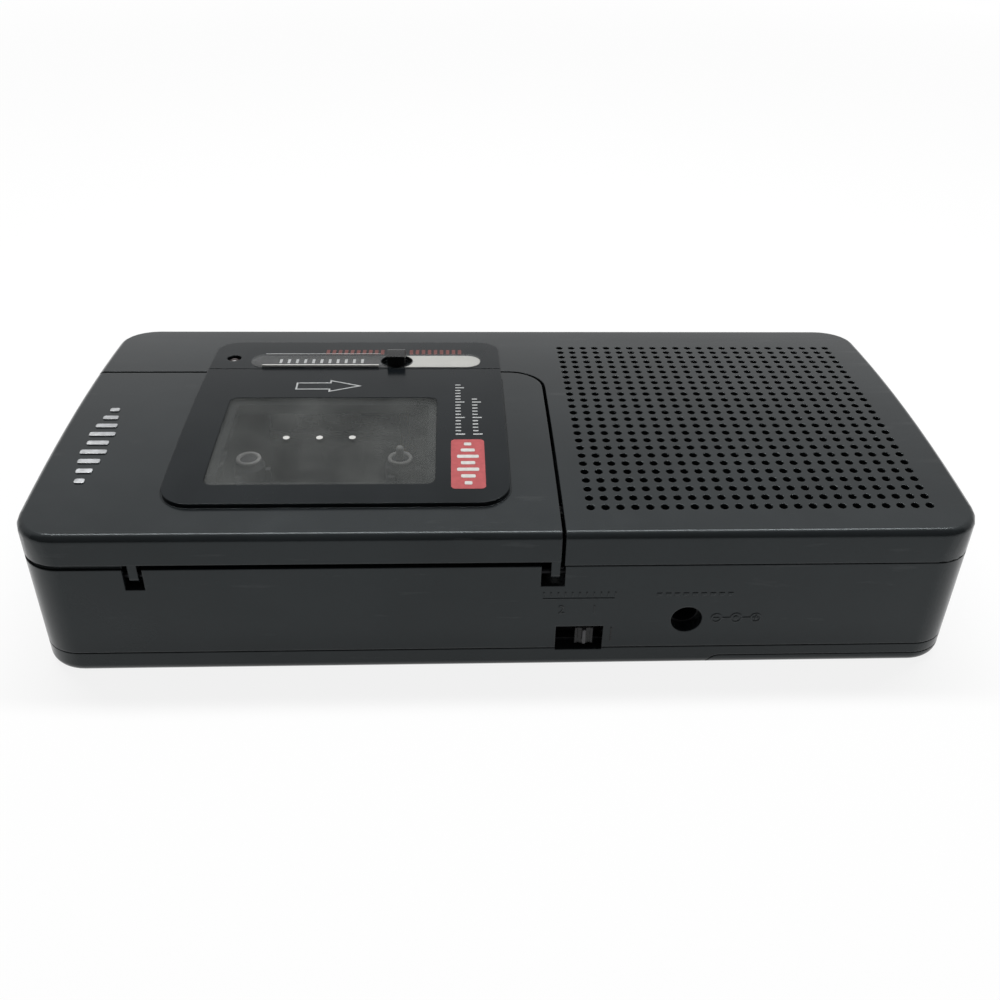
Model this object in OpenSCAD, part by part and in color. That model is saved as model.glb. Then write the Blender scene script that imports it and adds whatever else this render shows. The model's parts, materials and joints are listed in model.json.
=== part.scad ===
// Microcassette recorder lying on its back, front face up, in millimetres.
// X runs from the lid end to the speaker end, Y from the hinge side to the key side, Z up from the back.

/* [Body] */
// Length of the body
body_l = 120.8; // [118:0.2:125]
// Width of the body
body_w = 59.4; // [59:0.2:62]
// Height of the crest of the front face above the back
body_h = 23.2; // [23:0.1:24.5]
// Radius of the crowned front face
crown_r = 300; // [250:10:500]
// Radius of the upright corners
corner_r = 5.5; // [4.5:0.25:6]
// Rounding of the front edge
edge_r = 1.2; // [0.8:0.1:1.4]
// Rounding of the back edge
back_edge_r = 1.5; // [1:0.1:1.7]
// Thickness of the cabinet walls
wall = 1.8; // [1.6:0.05:2]
// Thickness of the front face
face_t = 1.5; // [1.2:0.1:1.7]
// Thickness of the back cover's floor and of the battery door
floor_t = 1.5; // [1.4:0.05:1.7]
// Height of the seam under the front cabinet and the lid
seam_front = 16.9; // [16.8:0.05:17.2]
// Height of the seam above the back cover
seam_back = 3.4; // [3.2:0.05:3.6]
// Shadow gap left between two shells
seam_gap = 0.15; // [0.1:0.05:0.25]

/* [Grille] */
// Diameter of a grille hole
grille_hole_d = 1.1; // [0.9:0.05:1.3]
// Columns of grille holes
grille_cols = 24; // [18:1:25]
// Rows of grille holes
grille_rows = 25; // [18:1:26]
// Distance from the lid's edge to the first column
grille_lid_margin = 3.95; // [3.5:0.05:5]
// Distance from the last column to the speaker end
grille_end_margin = 5.9; // [5:0.1:7]
// Share of the body's width that the rows take up
grille_share = 0.768; // [0.7:0.002:0.78]
// Place of the middle of the grille across the body
grille_y = -1.6; // [-2.5:0.1:0.5]

/* [Lid] */
// Right edge of the cassette lid
lid_right = 6.85; // [6.5:0.05:7.2]
// Far edge of the cassette lid
lid_far = 11.5; // [11:0.1:12]
// Radius of the lid's far inner corner
lid_corner_r = 5; // [4:0.5:6]
// Gap between the lid and the cabinet
lid_gap = 0.5; // [0.4:0.05:0.6]
// Gap under the lid's skirt, which lets it swing
skirt_gap = 0.7; // [0.65:0.05:0.9]
// Thickness of the raised panel on the lid
panel_t = 0.55; // [0.5:0.05:1]
// Gap between the lid's part of the panel and the cabinet's part
panel_gap = 0.2; // [0.15:0.05:0.4]
// Left edge of the raised panel
panel_left = -43.6; // [-45:0.1:-43]
// Right edge of the raised panel
panel_right = 0.8; // [0:0.1:1.5]
// Near edge of the raised panel
panel_near = -24; // [-25:0.1:-23.5]
// Far edge of the raised panel
panel_far = 22.5; // [21:0.1:24]
// Radius of the panel's near corners
panel_corner_r = 4; // [3:0.25:6]
// Left edge of the cassette window
window_left = -38.5; // [-39.5:0.1:-37.5]
// Right edge of the cassette window
window_right = -8.8; // [-9.5:0.1:-8]
// Near edge of the cassette window
window_near = -20; // [-21:0.1:-19.5]
// Far edge of the cassette window
window_far = 2.1; // [1:0.1:3]

/* [Hinge] */
// Depth of the hinge axis behind the near face
hinge_depth = 1.2; // [1.1:0.05:1.3]
// Depth of the hinge axis below the front seam
hinge_drop = 1.45; // [1.2:0.05:1.5]
// Diameter of a hinge pin
hinge_pin_d = 0.9; // [0.7:0.05:1]
// Radius of a hinge lug
lug_r = 0.95; // [0.85:0.05:1]
// Running clearance of pins and shafts, on the radius
run_clear = 0.05; // [0.03:0.01:0.08]

/* [Cassette] */
// Length of the cassette
cassette_l = 50; // [49.5:0.1:50.5]
// Width of the cassette
cassette_w = 33; // [32.5:0.1:33.4]
// Place of the cassette's middle along the body
cassette_x = -24.75; // [-25.2:0.05:-24.4]
// Place of the cassette's near edge
cassette_near = -21.5; // [-21.8:0.1:-21.3]
// Distance between the two reel spindles
spindle_span = 21.4; // [21:0.1:22]
// Place of the spindles across the body
spindle_y = -5.5; // [-6:0.1:-5.2]
// Height of the spindle tips
spindle_top = 18; // [17:0.1:18.5]
// Free space round the cassette in its well
well_clear = 0.3; // [0.2:0.05:0.5]

/* [Drive] */
// Module of the reel gears
gear_m = 0.5; // [0.48:0.01:0.51]
// Teeth on a reel gear
reel_teeth = 20; // [20:1:20]
// Teeth on the idler gear, an odd count keeps the train in mesh
idler_teeth = 13; // [11:2:13]
// Teeth on the capstan pinion
capstan_teeth = 12; // [12:1:12]
// Diameter of the capstan
capstan_d = 1.6; // [1.4:0.1:1.8]
// Diameter of the flywheel
flywheel_d = 21; // [20:0.25:22]
// Diameter of the motor
motor_d = 20; // [18:0.5:20.5]
// Place of the motor along the body
motor_x = 14; // [13.5:0.1:14.5]
// Place of the motor across the body
motor_y = -8; // [-9:0.25:-7]
// Diameter of the motor pulley
pulley_d = 4; // [3.6:0.1:4.4]
// Width of the drive belt's square section
belt_d = 0.9; // [0.7:0.05:1]

/* [Controls] */
// Width of a transport key
key_w = 8; // [7:0.25:8.5]
// Height of a transport key
key_h = 4.6; // [4:0.1:4.8]
// Distance between transport keys
key_pitch = 9.5; // [9.2:0.1:10]
// How far a key stands out of the wall
key_proud = 1.8; // [1.5:0.1:2.6]
// How far a key travels
key_travel = 2; // [1.5:0.1:2.2]
// Clearance round a key, button or knob in its opening
slot_clear = 0.25; // [0.15:0.05:0.3]
// Diameter of the volume dial
dial_d = 14; // [13:0.25:14.5]
// Thickness of the volume dial
dial_t = 2.4; // [2:0.1:2.8]
// How far the dial stands out of the wall
dial_proud = 1.2; // [0.8:0.1:1.6]
// Place of the volume dial along the body
dial_x = 13; // [12.5:0.1:13.5]
// Place of the speed knob along the body
speed_x = 10.5; // [10.3:0.05:10.6]
// Travel of the speed knob
speed_travel = 2; // [1.6:0.1:2.2]
// Place of the counter reset button along the body
reset_x = -15.2; // [-15.5:0.05:-15]
// Travel of the counter reset button
reset_travel = 0.8; // [0.5:0.05:0.9]
// Place of the counter strip across the body
strip_y = 14.5; // [14.4:0.05:14.8]
// Width of the counter strip
strip_w = 4.6; // [4.2:0.1:4.7]

/* [Sockets] */
// Diameter of the power socket
dc_hole_d = 4.1; // [3.8:0.05:4.3]
// Diameter of the power plug's bore behind the hole
dc_bore_d = 3.5; // [3.3:0.05:3.7]
// Place of the power socket along the body
dc_x = 23.7; // [23.2:0.05:23.7]
// Height of the power socket
dc_z = 8.1; // [7.6:0.05:8.4]
// Diameter of an audio socket's bore
jack_bore_d = 3.6; // [3.5:0.02:3.7]
// Depth of an audio socket's bore
jack_depth = 10; // [9:0.25:10.5]

/* [Power] */
// Diameter of a battery cell
cell_d = 14.5; // [14.3:0.05:14.6]
// Left end of the battery door
door_left = 27.2; // [27:0.1:27.6]
// Height of the battery door's edge
door_edge = 1.8; // [1.7:0.02:1.85]

/* [Hidden] */
$fn = 48;
eps = 0.01;

shell_black = [0.23, 0.24, 0.25];
gloss_black = [0.13, 0.13, 0.14];
steel = [0.72, 0.73, 0.75];

lid_end = -60.4;
speaker_end = lid_end + body_l;
mid_x = (lid_end + speaker_end) / 2;
half_l = body_l / 2;
half_w = body_w / 2;
inner_left = lid_end + wall;
inner_right = speaker_end - wall;
inner_w = half_w - wall;
inner_corner_r = corner_r - wall;
crown_axis_z = body_h - crown_r;
function crown_z(y, rise = 0) = crown_axis_z + sqrt(pow(crown_r + rise, 2) - y * y);

// Front rim: stations along each end, and steps round each corner
rim_stations = 10;
rim_steps = 6;
rim_fn = 24;
crown_lift = 0.02;

// Grille between the lid and the speaker end
grille_left = lid_right + grille_lid_margin;
grille_l = speaker_end - grille_end_margin - grille_left;
grille_x = grille_left + grille_l / 2;
column_pitch = grille_l / (grille_cols - 1);
row_pitch = body_w * grille_share / (grille_rows - 1);

// Deck and well
deck_z = 9.6;
deck_t = 1.2;
deck_top = deck_z + deck_t;
well_wall = 1.2;
well_left = cassette_x - cassette_l / 2 - well_clear;
well_right = cassette_x + cassette_l / 2 + well_clear;
well_near = cassette_near - well_clear;
well_wall_top = seam_front - 0.6;
cassette_rest = 0.5;
cassette_mid_z = deck_top + cassette_rest + 4;

// Hinge
hinge_y = hinge_depth - half_w;
hinge_z = seam_front - hinge_drop;
lug_w = 1.15;
lug_clear = 0.6;
notch_under = 0.7;
notch_floor = hinge_z - lug_r - notch_under;
lug_left_x = -46.05;
lug_right_x = lid_right - lug_w / 2;
notch_w = lug_w + 2 * lug_clear + 0.1;
notch_extra = 0.6;
pin_seat = 2;
hinge_boss_t = 1;

// Battery bay
bay_left = door_left + 0.9;
bay_wall = 1;
cell_play = 0.1;
bay_top = floor_t + cell_d + 2 * cell_play;
bay_mid = (bay_left + inner_right) / 2;
cell_pitch = (inner_right - bay_left) / 2;
cell_z = floor_t + cell_play + cell_d / 2;
contact_t = 0.4;
contact_w = cell_pitch - 2 * inner_corner_r;
contact_gap = 0.05;
contact_h = 10;
spring_wire = 0.7;
spring_turns = 4;
spring_large_r = contact_w / 2;
spring_small_r = spring_large_r * 0.55;
spring_l = 4;
spring_gap = 0.02;

// Drive layout
supply_x = cassette_x - spindle_span / 2;
takeup_x = cassette_x + spindle_span / 2;
idler_y = spindle_y + gear_m * (reel_teeth + idler_teeth) / 2;
capstan_y = idler_y + gear_m * (idler_teeth + capstan_teeth) / 2;
plate_z = 7;
plate_t = 0.8;
plate_top = plate_z + plate_t;
gear_z = plate_top + 0.25;
gear_t = deck_z - 0.25 - gear_z;
gear_backlash = 0.12;
pressure_angle = 25;
addendum = 0.8;
dedendum = 1.05;
board_z = 2;
board_t = 1;
board_top = board_z + board_t;
board_posts_x = [-40, -10, 12];
board_posts_y = 16;
board_post_d = 3;
board_edge = 0.5;
board_parts = [[-46, -40, 10, 16], [-38, -32, 10, 16], [-40, -28, -20, -14]];
board_part_h = 1;
flywheel_bottom = board_top + 1.2;
flywheel_top = plate_z - 0.3;
belt_z = (flywheel_bottom + flywheel_top) / 2;
groove_depth = 0.5;
belt_clear = 0.03;
belt_big_r = flywheel_d / 2 - groove_depth + belt_clear;
belt_small_r = pulley_d / 2 - groove_depth + belt_clear;
motor_bottom = belt_z + 1.8;
motor_top = 15.6;
motor_shaft_d = 1.5;
motor_boss_d = 6;
motor_collar_d = 7;

// Heads on their base, which follows the play key
base_t = 0.8;
base_z = deck_top + 0.2;
roller_r = 2.6;
roller_gap = 0.1;
roller_y = capstan_y + capstan_d / 2 + roller_r + roller_gap + key_travel;
roller_bottom = cassette_mid_z - 2;
roller_top = cassette_mid_z + 2;
roller_pin_d = 1.2;
head_front = cassette_near + cassette_w + well_clear + 0.4;
base_near = head_front + 0.4;
base_far = base_near + 5.6;
base_left = cassette_x - 11;
base_right = takeup_x + 2.4;

// Keys, from the lid end to the speaker end
key_z = deck_top + 0.45 + key_h / 2;
key_flange = 0.6;
key_flange_t = 1;
key_tail_w = 2.4;
key_tail_h = 1.4;
key_first_x = cassette_x - 2 * key_pitch;
key_rounding = 1;

// Volume dial
dial_y = half_w + dial_proud - dial_d / 2;
dial_z = 12.2;
dial_shaft_d = 3;

// Counter
counter_left = -12.4;
counter_right = -2.1;
strip_left = -37.6;
lens_rise = 0.4;
wheel_d = 6.2;
wheel_w = 2.2;
wheel_gap = 0.15;
counter_mid = (counter_left + counter_right) / 2;
wheel_in = 0.6;
wheel_z = crown_z(strip_y) - wheel_d / 2 - wheel_in;
counter_shaft_d = 1.2;
reset_w = 2.9;
reset_l = 3.3;
reset_recess_d = 4.8;
reset_stays_out = 0.5;
reset_proud = reset_travel + reset_stays_out;
reset_top = crown_z(strip_y, panel_t) + reset_proud;
lamp_x = -40.4;
lamp_y = strip_y + 1.3;
lamp_d = 2.2;

// Speed switch
speed_z = seam_back + 1.75;
speed_window_w = 6.2;
speed_window_h = 4;
speed_knob_w = 2.4;
speed_knob_h = 2.6;
speed_window_x = speed_x - (speed_travel - 0.6) / 2;

// Voice switch in the lid end wall
voice_in = 8.9;
voice_y = inner_w - voice_in;
voice_switch_l = 10.8;
voice_switch_t = 3.5;
voice_z = 13.6;
voice_travel = 2;
voice_knob_w = 2.6;
voice_knob_h = 2.2;

// Sockets in the lid end wall
earphone_y = -14;
microphone_socket_y = 2;
jack_z = board_top + 3.2;
jack_nose_d = 5.6;
jack_body_w = 7;
jack_body_h = 5.8;
mic_y = -15;
mic_d = 4.2;
mic_z = deck_top + mic_d / 2 + 0.1;
mic_l = 4.5;
mic_port_d = 1.2;

// Screws of the back cover
screw_d = 1.7;
screw_head_d = 3.4;
screw_head_t = 1.2;
boss_d = 5;
boss_inset = 4.2;
boss_places = [
  [inner_left + boss_inset, boss_inset - inner_w],
  [inner_left + boss_inset, inner_w - boss_inset],
  [bay_left - bay_wall - boss_d / 2 - 0.2, inner_w - boss_inset],
  [well_right - boss_d - 1, boss_d / 2 + 0.7 - inner_w]
];

// Plain building blocks
module rounded(l, w, r) {
  square([l, w - 2 * r], center = true);
  square([l - 2 * r, w], center = true);
  for (x = [r - l / 2, l / 2 - r])
    for (y = [r - w / 2, w / 2 - r])
      translate([x, y]) circle(r);
}

module slab(l, w, r, z0, z1)
  translate([0, 0, z0]) linear_extrude(z1 - z0) rounded(l, w, r);

// Slab with the body's outline, drawn in by draw_in
module body_slab(draw_in, z0, z1)
  translate([mid_x, 0, 0])
    slab(body_l - 2 * draw_in, body_w - 2 * draw_in, corner_r - draw_in, z0, z1);

// Rounded rectangle given by its edges
module field(x0, x1, y0, y1, r)
  translate([(x0 + x1) / 2, (y0 + y1) / 2]) rounded(x1 - x0, y1 - y0, r);

module block(x0, x1, y0, y1, z0, z1)
  translate([x0, y0, z0]) cube([x1 - x0, y1 - y0, z1 - z0]);

module rod_x(x0, x1, y, z, d)
  translate([x0, y, z]) rotate([0, 90, 0]) cylinder(d = d, h = x1 - x0);

module rod_y(x, y0, y1, z, d)
  translate([x, y0, z]) rotate([-90, 0, 0]) cylinder(d = d, h = y1 - y0);

module rod_z(x, y, z0, z1, d)
  translate([x, y, z0]) cylinder(d = d, h = z1 - z0);

module ring_z(x, y, z0, z1, d, hole)
  difference() {
    rod_z(x, y, z0, z1, d);
    rod_z(x, y, z0 - eps, z1 + eps, hole);
  }

// Everything below the crowned surface, raised by rise
module under_crown(rise)
  translate([0, 0, crown_axis_z]) rotate([0, 90, 0])
    cylinder(r = crown_r + rise, h = 2 * body_l, center = true, $fn = 200);

// Layer that follows the crown between two rises, inside a plan outline
module crown_layer(rise0, rise1)
  difference() {
    intersection() {
      translate([0, 0, body_h / 2]) linear_extrude(body_h) children();
      under_crown(rise1);
    }
    under_crown(rise0);
  }

// Outside of the front layer: crowned, with a rolled rim that follows the crown
function rim_y(i) = (i / rim_stations * 2 - 1) * (half_w - corner_r);
module rim_ball(x, y)
  translate([x, y, crown_z(y) + crown_lift - edge_r]) sphere(edge_r, $fn = rim_fn);
module front_form(z0)
  intersection() {
    hull() {
      for (side = [-1, 1]) {
        for (i = [0:rim_stations])
          rim_ball(mid_x + side * (half_l - edge_r), rim_y(i));
        for (way = [-1, 1])
          for (a = [0:90 / rim_steps:90])
            rim_ball(mid_x + side * (half_l - corner_r + (corner_r - edge_r) * cos(a)),
                     way * (half_w - corner_r + (corner_r - edge_r) * sin(a)));
      }
      body_slab(0, z0, z0 + eps, $fn = rim_fn);
    }
    under_crown(0);
  }

module front_cavity(z0)
  intersection() {
    body_slab(wall, z0, body_h);
    under_crown(-face_t);
  }

// Plan of the lid, grown by grow on its two inner edges
module lid_plan(grow) {
  far = lid_far + grow;
  right = lid_right + grow;
  r = lid_corner_r + grow;
  over = 10;
  translate([lid_end - over, -half_w - over]) square([right - r - lid_end + over, half_w + over + far]);
  translate([lid_end - over, -half_w - over]) square([right - lid_end + over, half_w + over + far - r]);
  translate([right - r, far - r]) circle(r);
}

module lid_space(grow)
  translate([0, 0, seam_front - 2]) linear_extrude(body_h) lid_plan(grow);

// Back layer outside, with its back edge rounded all the way round
module back_profile(reach, z1)
  difference() {
    union() {
      translate([0, back_edge_r]) square([reach, z1 - back_edge_r]);
      square([reach - back_edge_r, z1]);
      translate([reach - back_edge_r, back_edge_r]) circle(back_edge_r);
    }
    translate([-reach, -1]) square([reach, z1 + 2]);
  }

module back_form(z1)
  translate([mid_x, 0, 0]) {
    long = half_l - corner_r;
    short = half_w - corner_r;
    for (turn = [0, 180])
      rotate(turn) {
        translate([-long, 0, 0]) rotate([90, 0, 90]) linear_extrude(2 * long) back_profile(half_w, z1);
        translate([0, short, 0]) rotate([90, 0, 0]) linear_extrude(2 * short) back_profile(half_l, z1);
      }
    for (x = [-long, long])
      for (y = [-short, short])
        translate([x, y, 0]) rotate_extrude() back_profile(corner_r, z1);
  }

// Gear with involute flanks
function inv_deg(a) = tan(a) * 180 / PI - a;
function half_tooth(r, rb, at_pitch) = at_pitch + inv_deg(pressure_angle) - inv_deg(acos(min(1,
      rb / max(r, rb))));
module gear(teeth, height) {
  pitch_r = gear_m * teeth / 2;
  base_r = pitch_r * cos(pressure_angle);
  tip_r = pitch_r + addendum * gear_m;
  root_r = pitch_r - dedendum * gear_m;
  at_pitch = 90 / teeth - gear_backlash / 2 / pitch_r * 90 / PI;
  low_r = max(root_r, base_r);
  radii = [root_r, low_r + eps, (low_r + pitch_r) / 2 + eps, pitch_r + eps, (pitch_r + tip_r) / 2, tip_r];
  last = len(radii) - 1;
  flank = [for (r = radii) [r, half_tooth(r, base_r, at_pitch)]];
  outline = [
    for (i = [0:teeth - 1])
      for (k = [0:2 * last + 1])
        let (up = k <= last, p = up ? flank[k] : flank[2 * last + 1 - k], turn = i * 360 / teeth)
          p[0] * [cos(turn + (up ? -p[1] : p[1])), sin(turn + (up ? -p[1] : p[1]))]
  ];
  linear_extrude(height) polygon(outline);
}

// Tube of round wire swept along points, closed at both ends
module wire(points, d, sides) {
  n = len(points);
  function heading(i) = let (v = points[min(i + 1, n - 1)] - points[max(i - 1, 0)]) v / norm(v);
  rings = [
    for (i = [0:n - 1])
      let (t = heading(i), s = cross(t, [0, 1, 0]), u = s / norm(s), w = cross(u, t))
        for (k = [0:sides - 1])
          points[i] + d / 2 * (u * cos(k * 360 / sides) + w * sin(k * 360 / sides))
  ];
  sides_faces = [
    for (i = [0:n - 2])
      for (k = [0:sides - 1])
        let (a = i * sides + k, b = i * sides + (k + 1) % sides)
          each [[a, a + sides, b], [b, a + sides, b + sides]]
  ];
  ends = [
    for (k = [1:sides - 2]) each [[0, k, k + 1], [(n - 1) * sides, (n - 1) * sides + k + 1,
          (n - 1) * sides + k]]
  ];
  polyhedron(rings, concat(sides_faces, ends));
}

// Front shell: speaker half and far strip, with the grille
module front_cabinet()
  color(shell_black)
    difference() {
      front_form(seam_front + seam_gap);
      front_cavity(seam_front - 1);
      lid_space(lid_gap);
      for (c = [0:grille_cols - 1])
        for (r = [0:grille_rows - 1])
          rod_z(grille_left + c * column_pitch,
                grille_y + (r - (grille_rows - 1) / 2) * row_pitch,
                body_h - 5, body_h + 1, grille_hole_d);
      translate([0, 0, seam_front]) linear_extrude(body_h) counter_opening();
      rod_z(reset_x, strip_y, seam_front, body_h + 1, reset_recess_d);
      rod_z(lamp_x, lamp_y, seam_front, body_h + 1, lamp_d);
      rod_x(counter_mid - wheel_span / 2 - wheel_gap, counter_mid + wheel_span / 2 + wheel_gap,
            strip_y, wheel_z, wheel_d + 2 * slot_clear);
    }

// Opening under the counter's lens
bezel_margin = 0.5;
module counter_opening()
  field(counter_left + bezel_margin, counter_right - bezel_margin,
        strip_y - strip_w / 2 + bezel_margin, strip_y + strip_w / 2 - bezel_margin, 0.8);

module key_opening(x)
  block(x - key_w / 2 - slot_clear, x + key_w / 2 + slot_clear, inner_w - 1, half_w + 1,
        key_z - key_h / 2 - slot_clear, key_z + key_h / 2 + slot_clear);

module boss(place, z0, z1)
  rod_z(place[0], place[1], z0, z1, boss_d);

// Wall standing up from the deck beside the cassette
module well_walls() {
  block(well_left - well_wall, well_right + well_wall, well_near - well_wall, well_near, deck_z,
        well_wall_top);
  block(well_left - well_wall, well_left, well_near - well_wall, lid_far - 2, deck_z, well_wall_top);
  block(well_right, well_right + well_wall, -inner_w - eps, inner_w + eps, deck_z, well_wall_top);
}

// Blocks that hold the hinge pins, inside the near wall
module hinge_boss(x)
  block(x - notch_w / 2 - 2 - notch_extra, x + notch_w / 2 + 2, -inner_w - eps, -inner_w + hinge_boss_t,
        notch_floor - 1, seam_front);

module hinge_notch(x)
  block(x - notch_w / 2 - (x > 0 ? notch_extra : 0), x + notch_w / 2,
        -half_w - 1, -inner_w + hinge_boss_t + 1, notch_floor, seam_front + lip_h + 1);

// Lip inside the gap under the lid, at the lid end and beside the notches
lip_t = 1;
lip_h = 1.2;
lip_low = 1.6;
lip_gap = 0.2;
module lid_lip() {
  z0 = seam_front - lip_low;
  z1 = seam_front + lip_h;
  block(inner_left + lip_gap, inner_left + lip_gap + lip_t, corner_r - half_w, lid_far, z0, z1);
  block(inner_left - eps, inner_left + lip_gap + lip_t, corner_r - half_w, lid_far, z0,
        seam_front - lip_low / 2);
  for (x = [[lid_end + corner_r, lug_left_x - notch_w], [lug_left_x + notch_w,
        lug_right_x - notch_w - notch_extra]]) {
    block(x[0], x[1], -inner_w + lip_gap, -inner_w + lip_gap + lip_t, z0, z1);
    block(x[0], x[1], -inner_w - eps, -inner_w + lip_gap + lip_t, z0, seam_front - lip_low / 2);
  }
}

// Set-in rise of the wall that narrows the gap between the lid end and the first notch
rise_in = 0.4;
rise_h = 0.42;
module lid_rise()
  intersection() {
    difference() {
      body_slab(rise_in, seam_front - eps, seam_front + rise_h);
      body_slab(wall, seam_front - 1, seam_front + 1);
    }
    block(lid_end, lug_left_x - notch_w / 2, -half_w, lid_far, seam_front - 1, seam_front + 1);
  }

// Bridge over the motor, which hangs in its hole
bridge_w = 12;
module motor_bridge()
  difference() {
    block(well_right, bay_left, motor_y - bridge_w / 2, motor_y + bridge_w / 2, motor_top + eps,
          seam_front);
    rod_z(motor_x, motor_y, motor_top - 1, seam_front + 1, motor_boss_d + 2 * eps);
  }

// Middle shell: outer band, cassette deck and well, battery bay
module centre_cabinet()
  color(shell_black)
    difference() {
      union() {
        difference() {
          body_slab(0, seam_back + seam_gap, seam_front);
          body_slab(wall, 0, body_h);
        }
        block(inner_left - eps, well_right + well_wall, -inner_w - eps, inner_w + eps, deck_z, deck_top);
        well_walls();
        block(bay_left - bay_wall, bay_left, -inner_w - eps, inner_w + eps, seam_back + seam_gap,
              seam_front);
        block(bay_left - bay_wall, inner_right + eps, -inner_w - eps, inner_w + eps, bay_top, seam_front);
        for (x = [lug_left_x, lug_right_x]) hinge_boss(x);
        lid_lip();
        lid_rise();
        motor_bridge();
        for (p = boss_places) boss(p, seam_back + seam_gap, deck_top);
        block(well_right, bay_left, inner_w - 2 * boss_inset, inner_w + eps, deck_z - 3, deck_z);
      }
      for (x = [lug_left_x, lug_right_x]) {
        hinge_notch(x);
        rod_x(x - notch_w / 2 - pin_seat, x + notch_w / 2 + pin_seat, hinge_y, hinge_z,
              hinge_pin_d + 2 * eps);
      }
      for (x = [supply_x, takeup_x]) rod_z(x, spindle_y, deck_z - 1, deck_top + 1, spindle_hole_d);
      rod_z(takeup_x, capstan_y, deck_z - 1, deck_top + 1, bearing_d + 2 * eps);
      block(speed_window_x - speed_window_w / 2, speed_window_x + speed_window_w / 2, -half_w - 1,
            -inner_w + 1,
            0, speed_z + speed_window_h / 2);
      rod_y(dc_x, -half_w - 1, -inner_w + 1, dc_z, dc_hole_d);
      for (i = [0:4]) key_opening(key_first_x + i * key_pitch);
      dial_slot();
      for (y = [earphone_y, microphone_socket_y])
        rod_x(lid_end - 1, inner_left + 1, y, jack_z, jack_nose_d + 2 * eps);
      rod_x(lid_end - 1, inner_left + 1, mic_y, mic_z, mic_port_d);
      block(lid_end - 1, inner_left + 1, voice_y - voice_knob_w / 2 - voice_travel - slot_clear,
            voice_y + voice_knob_w / 2 + voice_travel + slot_clear,
            voice_z - voice_knob_h / 2 - slot_clear, voice_z + voice_knob_h / 2 + slot_clear);
      for (p = boss_places) rod_z(p[0], p[1], seam_back - 1, deck_z - 1, screw_d);
    }
spindle_hole_d = 6.4;
bearing_d = 3.4;

module dial_slot()
  rod_z(dial_x, dial_y, dial_z - slot_clear, dial_z + dial_t + slot_clear, dial_d + 2 * slot_clear);

// Place of the door's rails on both sides of the bay
rail_in = 2.7;
rail_t = 0.5;
rail_lip = 0.6;
rail_lip_t = 0.35;
rail_clear = 0.12;
rail_low = 0.7;
module door_rail(side)
  mirror([0, side > 0 ? 1 : 0, 0]) {
    block(door_left + 3, inner_right - 1, -half_w + rail_in - rail_t, -half_w + rail_in,
          rail_low, seam_back);
    block(door_left + 3, inner_right - 1, -half_w + rail_in - rail_t, -half_w + rail_in + rail_lip,
          rail_low, rail_low + rail_lip_t);
    block(door_left + 3, inner_right - 1, -inner_w - eps, -half_w + rail_in, door_edge + rail_clear,
          seam_back);
  }

module door_groove(side)
  mirror([0, side > 0 ? 1 : 0, 0]) {
    block(door_left - 1, inner_right - 1 + rail_clear, -half_w + rail_in - rail_t - rail_clear,
          -half_w + rail_in + rail_clear, rail_low - rail_clear, seam_back);
    block(door_left - 1, inner_right - 1 + rail_clear, -half_w + rail_in - rail_t - rail_clear,
          -half_w + rail_in + rail_lip + rail_clear, rail_low - rail_clear,
                rail_low + rail_lip_t + rail_clear);
  }

// Region that the battery door takes out of the back layer, with its curved lead-in
door_curve_r = 1.7;
module door_region(grow)
  translate([0, half_w + 1, 0]) rotate([90, 0, 0]) linear_extrude(body_w + 2)
    difference() {
      translate([door_left - grow, -1]) square([speaker_end - door_left + 2, door_edge + grow + 1]);
      difference() {
        translate([door_left - grow - 1, door_edge + grow - door_curve_r]) square([door_curve_r + 1,
              door_curve_r + 1]);
        translate([door_left - grow + door_curve_r, door_edge + grow - door_curve_r]) circle(door_curve_r);
      }
    }

// Back shell: pan with board posts, screw recesses and the rails of the battery door
module back_cover()
  color(shell_black)
    difference() {
      union() {
        difference() {
          back_form(seam_back);
          body_slab(wall, floor_t, seam_back + 1);
          door_region(rail_clear);
          block(bay_left + 0.1, inner_right, -inner_w, inner_w, -1, seam_back + 1);
        }
        for (side = [-1, 1]) door_rail(side);
        for (p = boss_places) rod_z(p[0], p[1], floor_t - eps, seam_back, boss_d);
        for (x = board_posts_x)
          for (y = [-board_posts_y, board_posts_y])
            rod_z(x, y, floor_t - eps, board_z, board_post_d);
      }
      for (p = boss_places) {
        rod_z(p[0], p[1], -1, seam_back + 1, screw_d + 2 * slot_clear);
        rod_z(p[0], p[1], -1, screw_head_t + 0.5, screw_head_d + 2 * slot_clear);
      }
      block(speed_window_x - speed_window_w / 2, speed_window_x + speed_window_w / 2, -half_w - 1,
            -inner_w + 1,
            speed_z - speed_window_h / 2, seam_back + 1);
    }

// Door over the battery bay, which slides off past the speaker end
module battery_door()
  color(shell_black)
    difference() {
      intersection() {
        back_form(seam_back);
        door_region(0);
      }
      block(door_left + 2, inner_right, -inner_w + 0.4, inner_w - 0.4, floor_t, seam_back);
      for (side = [-1, 1]) door_groove(side);
      for (i = [0:4])
        rod_y(door_left + 4 + i * 1.6, -9, 9, -0.15, 0.9);
    }

module case_screws()
  color(steel)
    for (p = boss_places) {
      rod_z(p[0], p[1], 0.5, 0.5 + screw_head_t, screw_head_d);
      rod_z(p[0], p[1], 0.5, deck_z - 2, screw_d - 2 * eps);
    }

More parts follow.
